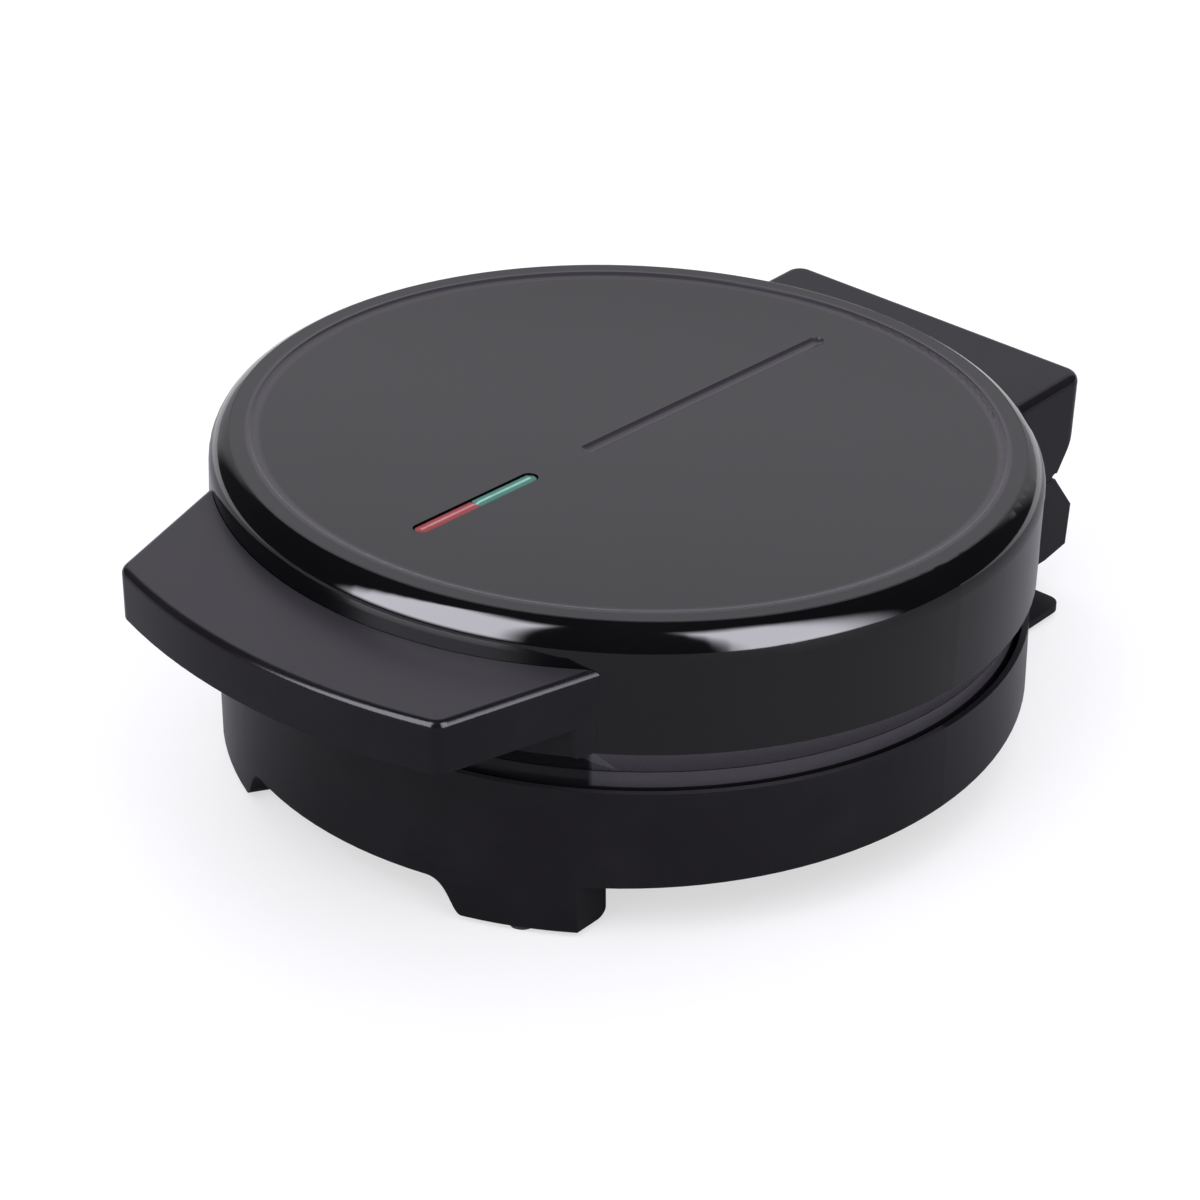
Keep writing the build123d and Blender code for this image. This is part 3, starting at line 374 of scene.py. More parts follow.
@dataclass(frozen=True)
class SatinShell:
    """A dark moulding: polished walls, a spark-eroded grip whose upward faces carry painted light, and
    two coarser bands at the seam with a painted reflection.
    """

    name: str = "satin_shell"
    wall: Colour = (0.0098, 0.0090, 0.0108)
    rubbed: Colour = (0.0135, 0.0126, 0.0146)
    # Painted light: a paler colour on upward-facing faces in front, for the light they catch from
    # above.
    top: Colour = (0.0330, 0.0317, 0.0350)
    # Painted reflection: a paler colour on the two bands at the seam.
    painted_band_reflection: Colour = (0.0740, 0.0715, 0.0790)
    roughness: float = 0.15
    top_roughness: float = 0.17
    band_roughness: float = 0.14
    band_reach: float = 107.4 * MM
    band_high: float = 7.2 * MM
    band_low: float = 4.2 * MM
    # The bands' painted reflection stops at this angle each side of the front, leaving painted shade in
    # the finger recess.
    recess: float = math.radians(37.0)
    facing_up: float = 0.975
    cloud_spread: float = 0.06
    pit_spread: float = 0.1
    pit_depth: float = 0.03 * MM
    ior: float = 1.5
    specular: float = 0.19

    def painted_band_mask(self, g: Graph) -> Value:
        """Where the two bands at the seam get their painted reflection, round to the finger recess
        under the handle, where they are left dark as painted shade.
        """
        reach = g.span(g.across(), g.behind())
        height = g.height()
        ahead = g.node("ShaderNodeMath", {"operation": "DIVIDE"}, {0: g.behind(), 1: reach})
        within = 1 - reach.above(self.band_reach, 0.3 * MM)
        within = within * ahead.above(-math.cos(self.recess), 0.004)
        over_low = height.above(-self.band_low, 0.1 * MM)
        under_high = 1 - height.above(self.band_high, 0.1 * MM)
        return within * over_low * under_high

    def material(self) -> bpy.types.Material:
        """Build the material."""
        g = Graph.named(self.name)
        pits = g.noise(scale=2600.0, detail=2.0, rough=0.6)
        cloud = g.noise(scale=38.0, detail=3.0, rough=0.6)
        rub = cloud.above(0.55, 0.2)
        painted_band_reflection = self.painted_band_mask(g)
        normal = g.node("ShaderNodeTexCoord", output="Normal")
        upward = normal.dot(tuple(SEAM_UP)).above(self.facing_up, 0.015)
        # Painted light: upward faces in front of the axis get the paler top colour.
        painted_top_light = upward * (1 - g.behind().above(0.0, MM))
        shell = g.blend(painted_top_light, g.blend(rub, self.wall, self.rubbed), self.top)
        texture = upward * self.top_roughness + painted_band_reflection * self.band_roughness
        uneven = cloud.swing(self.cloud_spread) + pits.swing(self.pit_spread)
        return g.surface(
            {
                # The bands get their painted reflection; in the finger recess they keep the shell's
                # colour as painted shade.
                "Base Color": g.blend(painted_band_reflection, shell, self.painted_band_reflection),
                "Roughness": texture + self.roughness + uneven,
                "IOR": self.ior,
                "Specular IOR Level": self.specular,
                "Normal": g.bump(pits, self.pit_depth, strength=0.5),
            }
        )


@dataclass(frozen=True)
class NonStickCast:
    """Die-cast aluminium under a dark sintered coating with fine pale flakes."""

    name: str = "non_stick_cast"
    colour: Colour = (0.030, 0.029, 0.030)
    baked: Colour = (0.040, 0.038, 0.037)
    flake: Colour = (0.135, 0.13, 0.125)
    flake_metal: float = 0.6
    roughness: float = 0.36
    coat: float = 0.12
    coat_roughness: float = 0.3
    peel_depth: float = 0.04 * MM

    def material(self) -> bpy.types.Material:
        """Build the material."""
        g = Graph.named(self.name)
        speck = 1 - g.cells(scale=1500.0).above(0.16, 0.05)
        flakes = speck * g.noise(scale=600.0, detail=1.0).above(0.52, 0.05)
        cured = g.noise(scale=45.0, detail=4.0, rough=0.62)
        peel = g.noise(scale=900.0, detail=2.0, rough=0.5)
        base = g.blend(cured.above(0.55, 0.25), self.colour, self.baked)
        return g.surface(
            {
                "Base Color": g.blend(flakes, base, self.flake),
                "Metallic": flakes * self.flake_metal,
                "Roughness": self.roughness + cured.swing(0.14) - flakes * 0.1,
                "Normal": g.bump(peel, self.peel_depth, strength=0.4),
                "Coat Weight": self.coat,
                "Coat Roughness": self.coat_roughness,
            }
        )


@dataclass(frozen=True)
class BareMetal:
    """A metal with a drawn or rolled grain and a clouded tint."""

    name: str
    colour: Colour
    tint: Colour
    roughness: float
    grain: tuple[float, float, float] = (400.0, 400.0, 400.0)
    depth: float = 0.01 * MM

    def material(self) -> bpy.types.Material:
        """Build the material."""
        g = Graph.named(self.name)
        lines = g.noise(scale=1.0, detail=2.0, rough=0.6, at=g.stretched(self.grain))
        cloud = g.noise(scale=70.0, detail=4.0, rough=0.6)
        return g.surface(
            {
                "Base Color": g.blend(cloud.above(0.5, 0.28), self.colour, self.tint),
                "Metallic": 1.0,
                "Roughness": self.roughness + lines.swing(0.16) + cloud.swing(0.1),
                "Normal": g.bump(lines, self.depth, strength=0.4),
            }
        )


@dataclass(frozen=True)
class Rubber:
    """Matt moulded rubber with a bloom of fine dust."""

    name: str
    colour: Colour = (0.018, 0.018, 0.019)
    bloom: Colour = (0.048, 0.047, 0.046)
    roughness: float = 0.72
    depth: float = 0.05 * MM

    def material(self) -> bpy.types.Material:
        """Build the material."""
        g = Graph.named(self.name)
        dust = g.noise(scale=220.0, detail=5.0, rough=0.7).above(0.58, 0.14)
        skin = g.noise(scale=1800.0, detail=2.0)
        return g.surface(
            {
                "Base Color": g.blend(dust * 0.6, self.colour, self.bloom),
                "Roughness": self.roughness + skin.swing(0.2),
                "Normal": g.bump(skin, self.depth, strength=0.5),
            }
        )


@dataclass(frozen=True)
class Lens:
    """A coloured clear moulding over an unlit bulb, with ribs, a painted highlight along its middle and
    a painted shadow round its brim.
    """

    name: str
    deep: Colour
    pale: Colour
    # Painted highlight along the lens's middle.
    painted_highlight: Colour
    # Painted shadow: a black edge round the lens, where the slot's wall shades it.
    painted_shadow_brim: float = 1.72 * MM
    painted_shadow_colour: Colour = (0.006, 0.005, 0.006)
    painted_highlight_half: float = 0.34 * MM
    roughness: float = 0.2
    painted_shadow_roughness: float = 0.3
    specular: float = 0.3
    rib_depth: float = 0.02 * MM

    def material(self) -> bpy.types.Material:
        """Build the material."""
        g = Graph.named(self.name)
        ribs = g.node(
            "ShaderNodeTexWave",
            {"wave_type": "BANDS", "bands_direction": "Y", "wave_profile": "SIN"},
            {"Vector": g.place(), "Scale": 420.0, "Distortion": 0.4, "Detail": 1.0},
        )
        glow = g.noise(scale=260.0, detail=3.0, rough=0.6)
        body = g.blend(ribs * 0.35 + glow * 0.5, self.deep, self.pale)
        # Painted highlight: a pale streak along the slot's middle line.
        middle = 1 - g.from_slot(WINDOW).above(self.painted_highlight_half, 0.3 * MM)
        lit = g.blend(middle * (0.35 + glow * 0.9), body, self.painted_highlight)
        # Painted shadow round the lens's brim.
        edge = g.from_slot(WINDOW).above(self.painted_shadow_brim, 0.14 * MM)
        return g.surface(
            {
                "Base Color": g.blend(edge, lit, self.painted_shadow_colour),
                "Roughness": self.roughness + glow.swing(0.06) + edge * self.painted_shadow_roughness,
                "Specular IOR Level": self.specular,
                "Normal": g.bump(ribs, self.rib_depth, strength=0.3),
            }
        )


@dataclass(frozen=True)
class Moulding:
    """A plain technical plastic or sleeve with a faint flow pattern."""

    name: str
    colour: Colour
    shade: Colour
    roughness: float = 0.45
    depth: float = 0.03 * MM

    def material(self) -> bpy.types.Material:
        """Build the material."""
        g = Graph.named(self.name)
        flow = g.noise(scale=160.0, detail=4.0, rough=0.65)
        skin = g.noise(scale=1200.0, detail=2.0)
        return g.surface(
            {
                "Base Color": g.blend(flow.above(0.55, 0.2), self.colour, self.shade),
                "Roughness": self.roughness + skin.swing(0.18),
                "Normal": g.bump(skin, self.depth, strength=0.4),
            }
        )


class Finish(Enum):
    """Every finish on the object, by its slot in the record."""

    GLOSS = "gloss_shell"
    MATT = "matt_shell"
    CAST = "cast_plate"
    ELEMENT = "element_sheath"
    SHEET = "sheet_steel"
    SCREW = "screw_steel"
    PIN = "pin_steel"
    PAD = "rubber_pad"
    BUSH = "bush_rubber"
    RED = "red_lens_plastic"
    GREEN = "green_lens_plastic"
    GLASS = "lamp_glass"
    HOUSING = "lamp_housing"
    TERMINAL = "terminal_plastic"
    CLAMP = "clamp_plastic"
    THERMOSTAT = "thermostat_body"
    FUSE = "fuse_body"
    SLEEVE = "lead_sleeve"


RECIPES = {
    Finish.GLOSS: GlossShell(),
    Finish.MATT: SatinShell(),
    Finish.CAST: NonStickCast(),
    Finish.ELEMENT: BareMetal("element_sheath", (0.34, 0.30, 0.25), (0.17, 0.15, 0.16), 0.42),
    Finish.SHEET: BareMetal(
        "rolled_sheet", (0.62, 0.62, 0.63), (0.52, 0.52, 0.53), 0.24, (1800.0, 40.0, 1800.0)
    ),
    Finish.SCREW: BareMetal("zinc_screw", (0.27, 0.265, 0.26), (0.20, 0.195, 0.185), 0.40),
    Finish.PIN: BareMetal(
        "ground_pin", (0.58, 0.58, 0.59), (0.5, 0.5, 0.5), 0.22, (3000.0, 60.0, 60.0)
    ),
    Finish.PAD: Rubber("foot_rubber"),
    Finish.BUSH: Rubber("bush_rubber", (0.015, 0.015, 0.016), (0.030, 0.030, 0.030)),
    # The last colour of each lens is its painted highlight.
    Finish.RED: Lens("red_lens", (0.200, 0.012, 0.018), (0.330, 0.045, 0.050), (0.52, 0.24, 0.23)),
    Finish.GREEN: Lens("green_lens", (0.018, 0.120, 0.090), (0.070, 0.240, 0.190), (0.34, 0.58, 0.50)),
    Finish.GLASS: Moulding("lamp_glass", (0.62, 0.55, 0.48), (0.70, 0.62, 0.55), 0.12),
    Finish.HOUSING: Moulding("lamp_housing", (0.58, 0.57, 0.54), (0.52, 0.51, 0.48)),
    Finish.TERMINAL: Moulding("terminal_nylon", (0.56, 0.54, 0.47), (0.50, 0.48, 0.42)),
    Finish.CLAMP: Moulding("clamp_nylon", (0.045, 0.045, 0.047), (0.06, 0.06, 0.06)),
    Finish.THERMOSTAT: Moulding("phenolic", (0.075, 0.04, 0.028), (0.11, 0.06, 0.04), 0.38),
    Finish.FUSE: BareMetal("tinned_case", (0.66, 0.66, 0.66), (0.56, 0.56, 0.55), 0.3),
    Finish.SLEEVE: Moulding("silicone_sleeve", (0.60, 0.57, 0.50), (0.52, 0.49, 0.43), 0.55),
}


class Palette:
    """The materials, each built once when it is first asked for."""

    def __init__(self) -> None:
        """Start with nothing built."""
        self._made: dict[Finish, bpy.types.Material] = {}

    def get(self, finish: Finish) -> bpy.types.Material:
        """The material of a finish."""
        if finish not in self._made:
            self._made[finish] = RECIPES[finish].material()
        return self._made[finish]

    def dress(self, piece: bpy.types.Object, finish: Finish) -> None:
        """Give a whole piece one finish."""
        piece.data.materials.clear()
        piece.data.materials.append(self.get(finish))
        for face in piece.data.polygons:
            face.material_index = 0


# --------------------------------------------------------------------------------------------------
# Sub-assemblies
# --------------------------------------------------------------------------------------------------


@dataclass
class SubAssembly:
    """A group of pieces that are made and dressed together."""

    nodes: dict[str, bpy.types.Object]
    palette: Palette
    finishes: dict[str, Finish] = field(default_factory=dict)

    def dress(self) -> None:
        """Give each carried-over node its finish."""
        for name, finish in self.finishes.items():
            self.palette.dress(self.nodes[name], finish)
            LOG.info("%s: %s", name, finish.value)


class Bench:
    """The hand tools that the pieces are shaped with."""

    FACING = 0.9
    BEVEL_PAST = math.radians(28.0)

    @staticmethod
    def clear() -> None:
        """Leave edit mode and deselect everything."""
        if bpy.context.object and bpy.context.object.mode != "OBJECT":
            bpy.ops.object.mode_set(mode="OBJECT")
        bpy.ops.object.select_all(action="DESELECT")

    @classmethod
    def pick(cls, *pieces: bpy.types.Object) -> None:
        """Select only these pieces and make the first one active."""
        cls.clear()
        for piece in pieces:
            piece.select_set(True)
        bpy.context.view_layer.objects.active = pieces[0]

    @classmethod
    def mark(cls, piece: bpy.types.Object, wanted: Callable[[bpy.types.MeshPolygon], bool]) -> None:
        """Select the faces that a test wants, and open the piece in edit mode.

        Args:
            piece: the piece.
            wanted: told a face, says whether it is meant.
        """
        cls.pick(piece)
        bpy.ops.object.mode_set(mode="EDIT")
        bpy.ops.mesh.select_mode(type="FACE")
        bpy.ops.mesh.select_all(action="DESELECT")
        bpy.ops.object.mode_set(mode="OBJECT")
        for face in piece.data.polygons:
            face.select = wanted(face)
        bpy.ops.object.mode_set(mode="EDIT")

    @classmethod
    def copy(cls, node: bpy.types.Object, name: str) -> bpy.types.Object:
        """A merged copy of a node's mesh as a new piece."""
        piece = bpy.data.objects.new(name, node.data.copy())
        bpy.context.scene.collection.objects.link(piece)
        cls.pick(piece)
        bpy.ops.mesh.customdata_custom_splitnormals_clear()
        bpy.ops.object.mode_set(mode="EDIT")
        bpy.ops.mesh.select_all(action="SELECT")
        bpy.ops.mesh.remove_doubles(threshold=WELD)
        cls.clear()
        return piece

    @classmethod
    def bevel(cls, piece: bpy.types.Object, width: float, segments: int) -> None:
        """Round the sharp edges of a piece.

        Args:
            piece: the piece.
            width: of the rounding, in metres.
            segments: facets across it.
        """
        cls.pick(piece)
        bpy.ops.object.shade_smooth()
        edge = piece.modifiers.new("edge", "BEVEL")
        edge.width, edge.segments = width, segments
        edge.limit_method, edge.angle_limit = "ANGLE", cls.BEVEL_PAST
        edge.use_clamp_overlap = False
        edge.harden_normals = True
        bpy.ops.object.modifier_apply(modifier=edge.name)

    @classmethod
    def smooth(cls, piece: bpy.types.Object, angle: float = 34.0) -> None:
        """Shade a piece smooth, apart from edges that turn by more than an angle in degrees."""
        cls.pick(piece)
        bpy.ops.object.shade_smooth_by_angle(angle=math.radians(angle))

    @classmethod
    def cut(cls, piece: bpy.types.Object, tool: bpy.types.Object) -> None:
        """Take one piece's shape out of another and remove it."""
        cls.pick(piece)
        cutter = piece.modifiers.new("cut", "BOOLEAN")
        cutter.operation, cutter.solver, cutter.object = "DIFFERENCE", "EXACT", tool
        bpy.ops.object.modifier_apply(modifier=cutter.name)
        bpy.data.objects.remove(tool, do_unlink=True)

    @staticmethod
    def middle(corners: list[Vector]) -> tuple[float, ...]:
        """The rounded mean of some points, to sort groups of them by."""
        return tuple(round(value, 4) for value in sum(corners, Vector()) / len(corners))

    @classmethod
    def solids(cls, node: bpy.types.Object) -> list[list[Vector]]:
        """The corner points of each separate solid of a node."""
        mesh = bmesh.new()
        mesh.from_mesh(node.data)
        bmesh.ops.remove_doubles(mesh, verts=mesh.verts, dist=WELD)
        left, groups = set(mesh.verts), []
        while left:
            stack, group = [left.pop()], []
            while stack:
                corner = stack.pop()
                group.append(corner.co.copy())
                for side in corner.link_edges:
                    other = side.other_vert(corner)
                    if other in left:
                        left.remove(other)
                        stack.append(other)
            groups.append(group)
        mesh.free()
        return sorted(groups, key=cls.middle)


@dataclass
class Screws(SubAssembly):
    """Pan-head screws with a cross recess and a thread, each where its plain solid is."""

    riders: dict[str, Body] = field(default_factory=dict)
    sides: int = 40
    crown: float = 0.55
    crown_segments: int = 4
    slot_share: float = 1.15
    slot_width: float = 0.85 * MM
    slot_depth: float = 0.62
    slot_taper: float = 0.55
    pitch: float = 1.25 * MM
    root: float = 0.84
    tip: float = 0.35
    head_past: float = 0.8

    def seat(self, corners: list[Vector]) -> tuple[Matrix, float, float, float, float]:
        """Where a screw is and how large.

        Args:
            corners: of its plain solid.

        Returns:
            The screw's place, with its head upwards from the origin, its head's radius and height, and
            its shank's radius and length.
        """
        spans = []
        for way in (UP, SEAM_UP):
            along = [corner.dot(way) for corner in corners]
            flat = [corner - way * corner.dot(way) for corner in corners]
            low = Vector([min(values) for values in zip(*flat)])
            high = Vector([max(values) for values in zip(*flat)])
            middle = (low + high) / 2
            middle -= way * middle.dot(way)
            radii = [(point - middle).length for point in flat]
            spans.append((max(radii), way, middle, along, radii))
        head_radius, way, middle, along, radii = min(spans, key=lambda span: span[0])
        edge = self.head_past * head_radius
        head = [height for height, radius in zip(along, radii) if radius > edge]
        shank = max(radius for radius in radii if radius < edge)
        low, high = min(along), max(along)
        up = abs(high - max(head)) < abs(min(head) - low)
        seat = min(head) if up else max(head)
        turn = (way if up else -way).to_track_quat("Z", "Y").to_matrix().to_4x4()
        place = Matrix.Translation(middle + way * seat) @ turn
        length = seat - low if up else high - seat
        return place, head_radius, max(head) - min(head), shank, length

    def cross(self, piece: bpy.types.Object, head: float, height: float) -> None:
        """Cut the cross recess into a screw's head.

        Args:
            piece: the screw.
            head: the head's radius.
            height: of the head.
        """
        for turn in (0.0, math.pi / 2):
            bpy.ops.mesh.primitive_cube_add(size=1.0, location=(0.0, 0.0, height))
            slot = bpy.context.active_object
            slot.scale = (head * self.slot_share, self.slot_width, 2 * height * self.slot_depth)
            slot.rotation_euler.z = turn
            bpy.ops.object.transform_apply(location=True, rotation=True, scale=True)
            Bench.mark(slot, lambda face: face.normal.z < -Bench.FACING)
            bpy.ops.transform.resize(value=(self.slot_taper, self.slot_taper, 1.0))
            Bench.clear()
            Bench.cut(piece, slot)

    def screw(
        self, name: str, head: float, height: float, shank: float, length: float
    ) -> bpy.types.Object:
        """Turn one screw, its head upwards from the origin.

        Args:
            name: the new piece's name.
            head: the head's radius.
            height: of the head.
            shank: the thread's outer radius.
            length: of the shank.

        Returns:
            The screw.
        """
        Bench.clear()
        at = (0.0, 0.0, height / 2)
        bpy.ops.mesh.primitive_cylinder_add(vertices=self.sides, radius=head, depth=height, location=at)
        piece = bpy.context.active_object
        piece.name = name
        bpy.ops.object.transform_apply(location=True, rotation=False, scale=False)
        Bench.mark(piece, lambda face: face.normal.z > Bench.FACING)
        bpy.ops.mesh.bevel(offset=height * self.crown, segments=self.crown_segments, affect="EDGES")
        Bench.mark(piece, lambda face: face.normal.z < -Bench.FACING)
        bpy.ops.mesh.inset(thickness=head - shank)
        turns = max(2, int((length - 2 * shank) / self.pitch))
        step = -(length - shank) / (2 * turns)
        moves = [(step, self.root), (step, 1 / self.root)] * turns + [(-shank, self.tip)]
        for drop, share in moves:
            bpy.ops.mesh.extrude_region_move(TRANSFORM_OT_translate={"value": (0.0, 0.0, drop)})
            bpy.ops.transform.resize(value=(share, share, 1.0))
        Bench.clear()
        self.cross(piece, head, height)
        Bench.smooth(piece)
        return piece

    def dress(self) -> None:
        """Make the screws of each node and give them their finish."""
        for name, body in self.riders.items():
            seats = [self.seat(corners) for corners in Bench.solids(self.nodes[name])]
            master = self.screw(f"{name}_cross", *seats[0][1:])
            made = []
            for count, (place, *_) in enumerate(seats):
                copy = bpy.data.objects.new(f"{name}_{count}", master.data.copy())
                bpy.context.scene.collection.objects.link(copy)
                copy.data.transform(place)
                made.append(copy)
            bpy.data.objects.remove(master, do_unlink=True)
            Bench.pick(*made)
            bpy.ops.object.join()
            piece = made[0]
            piece.name = f"{name}_cross"
            Bench.clear()
            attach(piece, body.value)
            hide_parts(name)
            self.palette.dress(piece, Finish.SCREW)
            LOG.info("%s: %d screws", piece.name, len(made))


@dataclass
class PanelLip(SubAssembly):
    """The sunk panel's edge as a fine ring over the solid's: a hollow that runs up to a round lip."""

    radius: float = 95.1 * MM
    rim: float = 39.5 * MM
    drop: float = 0.8 * MM
    slope: float = 0.95 * MM
    hollow: float = 2.6 * MM
    lip: float = 0.3 * MM
    proud: float = 0.05 * MM
    tuck: float = 0.2 * MM
    arc_steps: int = 7
    turns: int = 288
    crease: float = 40.0

    def arc(self, corner: Vector, radius: float, start: float, end: float) -> list[Vector]:
        """The points of a rounding in the section.

        Args:
            corner: where the two lines that it joins would meet.
            radius: of the rounding.
            start: direction of the first line, in radians above the level.
            end: direction of the second line.

        Returns:
            Points from the first line to the second.
        """
        reach = abs(radius * math.tan((end - start) / 2))
        side = 1.0 if end > start else -1.0
        first = corner - Vector((math.cos(start), math.sin(start))) * reach
        centre = first + Vector((-math.sin(start), math.cos(start))) * radius * side
        points = []
        for step in range(self.arc_steps + 1):
            turn = start + (end - start) * step / self.arc_steps
            way = Vector((math.sin(turn), -math.cos(turn)))
            points.append(centre + way * radius * side)
        return points

    def section(self) -> list[Vector]:
        """The ring's closed section, out from the axis and up from the seam."""
        rise = math.atan2(self.drop, self.slope)
        panel = self.rim - self.drop
        top = [
            *self.arc(Vector((self.radius - self.slope, panel)), self.hollow, 0.0, rise),
            *self.arc(Vector((self.radius, self.rim)), self.lip, rise, 0.0),
        ]
        top = [point + Vector((0.0, self.proud)) for point in top]
        inner, outer = top[0], top[-1]
        return [
            inner - Vector((self.tuck, 2 * self.proud)),
            *top,
            outer + Vector((self.tuck, -2 * self.proud)),
            outer + Vector((self.tuck, -self.drop)),
            inner - Vector((self.tuck, self.tuck)),
        ]

    def dress(self) -> None:
        """Spin the ring and give it the cover's finish."""
        Bench.clear()
        corners = [(point.x, 0.0, point.y) for point in self.section()]
        sides = [(at, (at + 1) % len(corners)) for at in range(len(corners))]
        mesh = bpy.data.meshes.new("lid_panel_lip")
        mesh.from_pydata(corners, sides, [])
        ring = bpy.data.objects.new("lid_panel_lip", mesh)
        bpy.context.scene.collection.objects.link(ring)
        Bench.pick(ring)
        bpy.ops.object.mode_set(mode="EDIT")
        bpy.ops.mesh.select_all(action="SELECT")
        bpy.ops.mesh.spin(steps=self.turns, angle=math.tau, center=(0.0, 0.0, 0.0), axis=tuple(UP))
        bpy.ops.mesh.select_all(action="SELECT")
        bpy.ops.mesh.remove_doubles(threshold=WELD)
        bpy.ops.mesh.normals_make_consistent(inside=False)
        Bench.clear()
        tilt = Matrix.Rotation(-SEAM_TILT, 4, "X")
        ring.data.transform(Matrix.Translation((0.0, 0.0, SEAM_Z)) @ tilt)
        Bench.smooth(ring, self.crease)
        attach(ring, Body.LID.value)
        self.palette.dress(ring, Finish.GLOSS)
        LOG.info("%s: %d faces", ring.name, len(ring.data.polygons))


@dataclass
class Window(SubAssembly):
    """The two lenses, each with a crowned top sunk in its slot."""

    drop: float = 0.28 * MM
    rings: tuple[tuple[float, float], ...] = (
        (0.35 * MM, 0.16 * MM),
        (0.45 * MM, 0.12 * MM),
        (0.5 * MM, 0.06 * MM),
    )
    level: float = 0.99
    skin: float = 0.05 * MM
    crease: float = 50.0

    def lens(self, name: str, finish: Finish) -> None:
        """Crown one lens and put it in place of its node."""
        piece = Bench.copy(self.nodes[name], f"{name}_crowned")
        heights = {
            face.index: face.center.dot(SEAM_UP)
            for face in piece.data.polygons
            if face.normal.dot(SEAM_UP) > self.level
        }
        limit = max(heights.values()) - self.skin
        Bench.mark(piece, lambda face: heights.get(face.index, limit) > limit)
        bpy.ops.transform.translate(value=tuple(SEAM_UP * -self.drop))
        for step, rise in self.rings:
            bpy.ops.mesh.inset(thickness=step, depth=rise)
        Bench.smooth(piece, self.crease)
        Bench.clear()
        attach(piece, Body.LID.value)
        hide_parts(name)
        self.palette.dress(piece, finish)
        LOG.info("%s: crowned lens", piece.name)

    def dress(self) -> None:
        """Make both lenses and dress the lamps behind them."""
        super().dress()
        self.lens("red_lens", Finish.RED)
        self.lens("green_lens", Finish.GREEN)


@dataclass(frozen=True)
class Rounding:
    """How a node's sharp edges are rounded."""

    body: Body
    finish: Finish
    width: float
    segments: int = 2


@dataclass
class Softened(SubAssembly):
    """Cast and moulded pieces whose edges have the radii that the plain solids leave out."""

    roundings: dict[str, Rounding] = field(default_factory=dict)

    def dress(self) -> None:
        """Round each piece and give it its finish."""
        for name, rounding in self.roundings.items():
            piece = Bench.copy(self.nodes[name], f"{name}_rounded")
            Bench.bevel(piece, rounding.width, rounding.segments)
            Bench.clear()
            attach(piece, rounding.body.value)
            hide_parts(name)
            self.palette.dress(piece, rounding.finish)
            LOG.info("%s: %d faces", piece.name, len(piece.data.polygons))


@dataclass(frozen=True)
class Panel:
    """A light panel or backdrop round the object, told by where it is seen, in degrees."""

    left: float
    right: float
    low: float
    high: float
    radiance: float
    soft_left: float = 5.0
    soft_right: float = 5.0
    soft_low: float = 5.0
    soft_high: float = 8.0

    def seen(self, g: Graph, way: Value) -> Value:
        """Its brightness in each direction.

        Args:
            g: the world's graph.
            way: the direction.

        Returns:
            The radiance that it adds.
        """
        a = math.radians((self.left + self.right) / 2)
        half = math.radians(self.right - self.left) / 2
        across = way.dot((math.cos(a), math.sin(a), 0.0))
        ahead = way.dot((math.sin(a), -math.cos(a), 0.0))
        turn = g.node("ShaderNodeMath", {"operation": "ARCTAN2"}, {0: across, 1: ahead})
        rise = way.rise()
        from_left = turn.above(-half, math.radians(self.soft_left))
        to_right = 1 - turn.above(half, math.radians(self.soft_right))
        from_low = rise.above(math.radians(self.low), math.radians(self.soft_low))
        to_high = 1 - rise.above(math.radians(self.high), math.radians(self.soft_high))
        return from_left * to_right * from_low * to_high * self.radiance


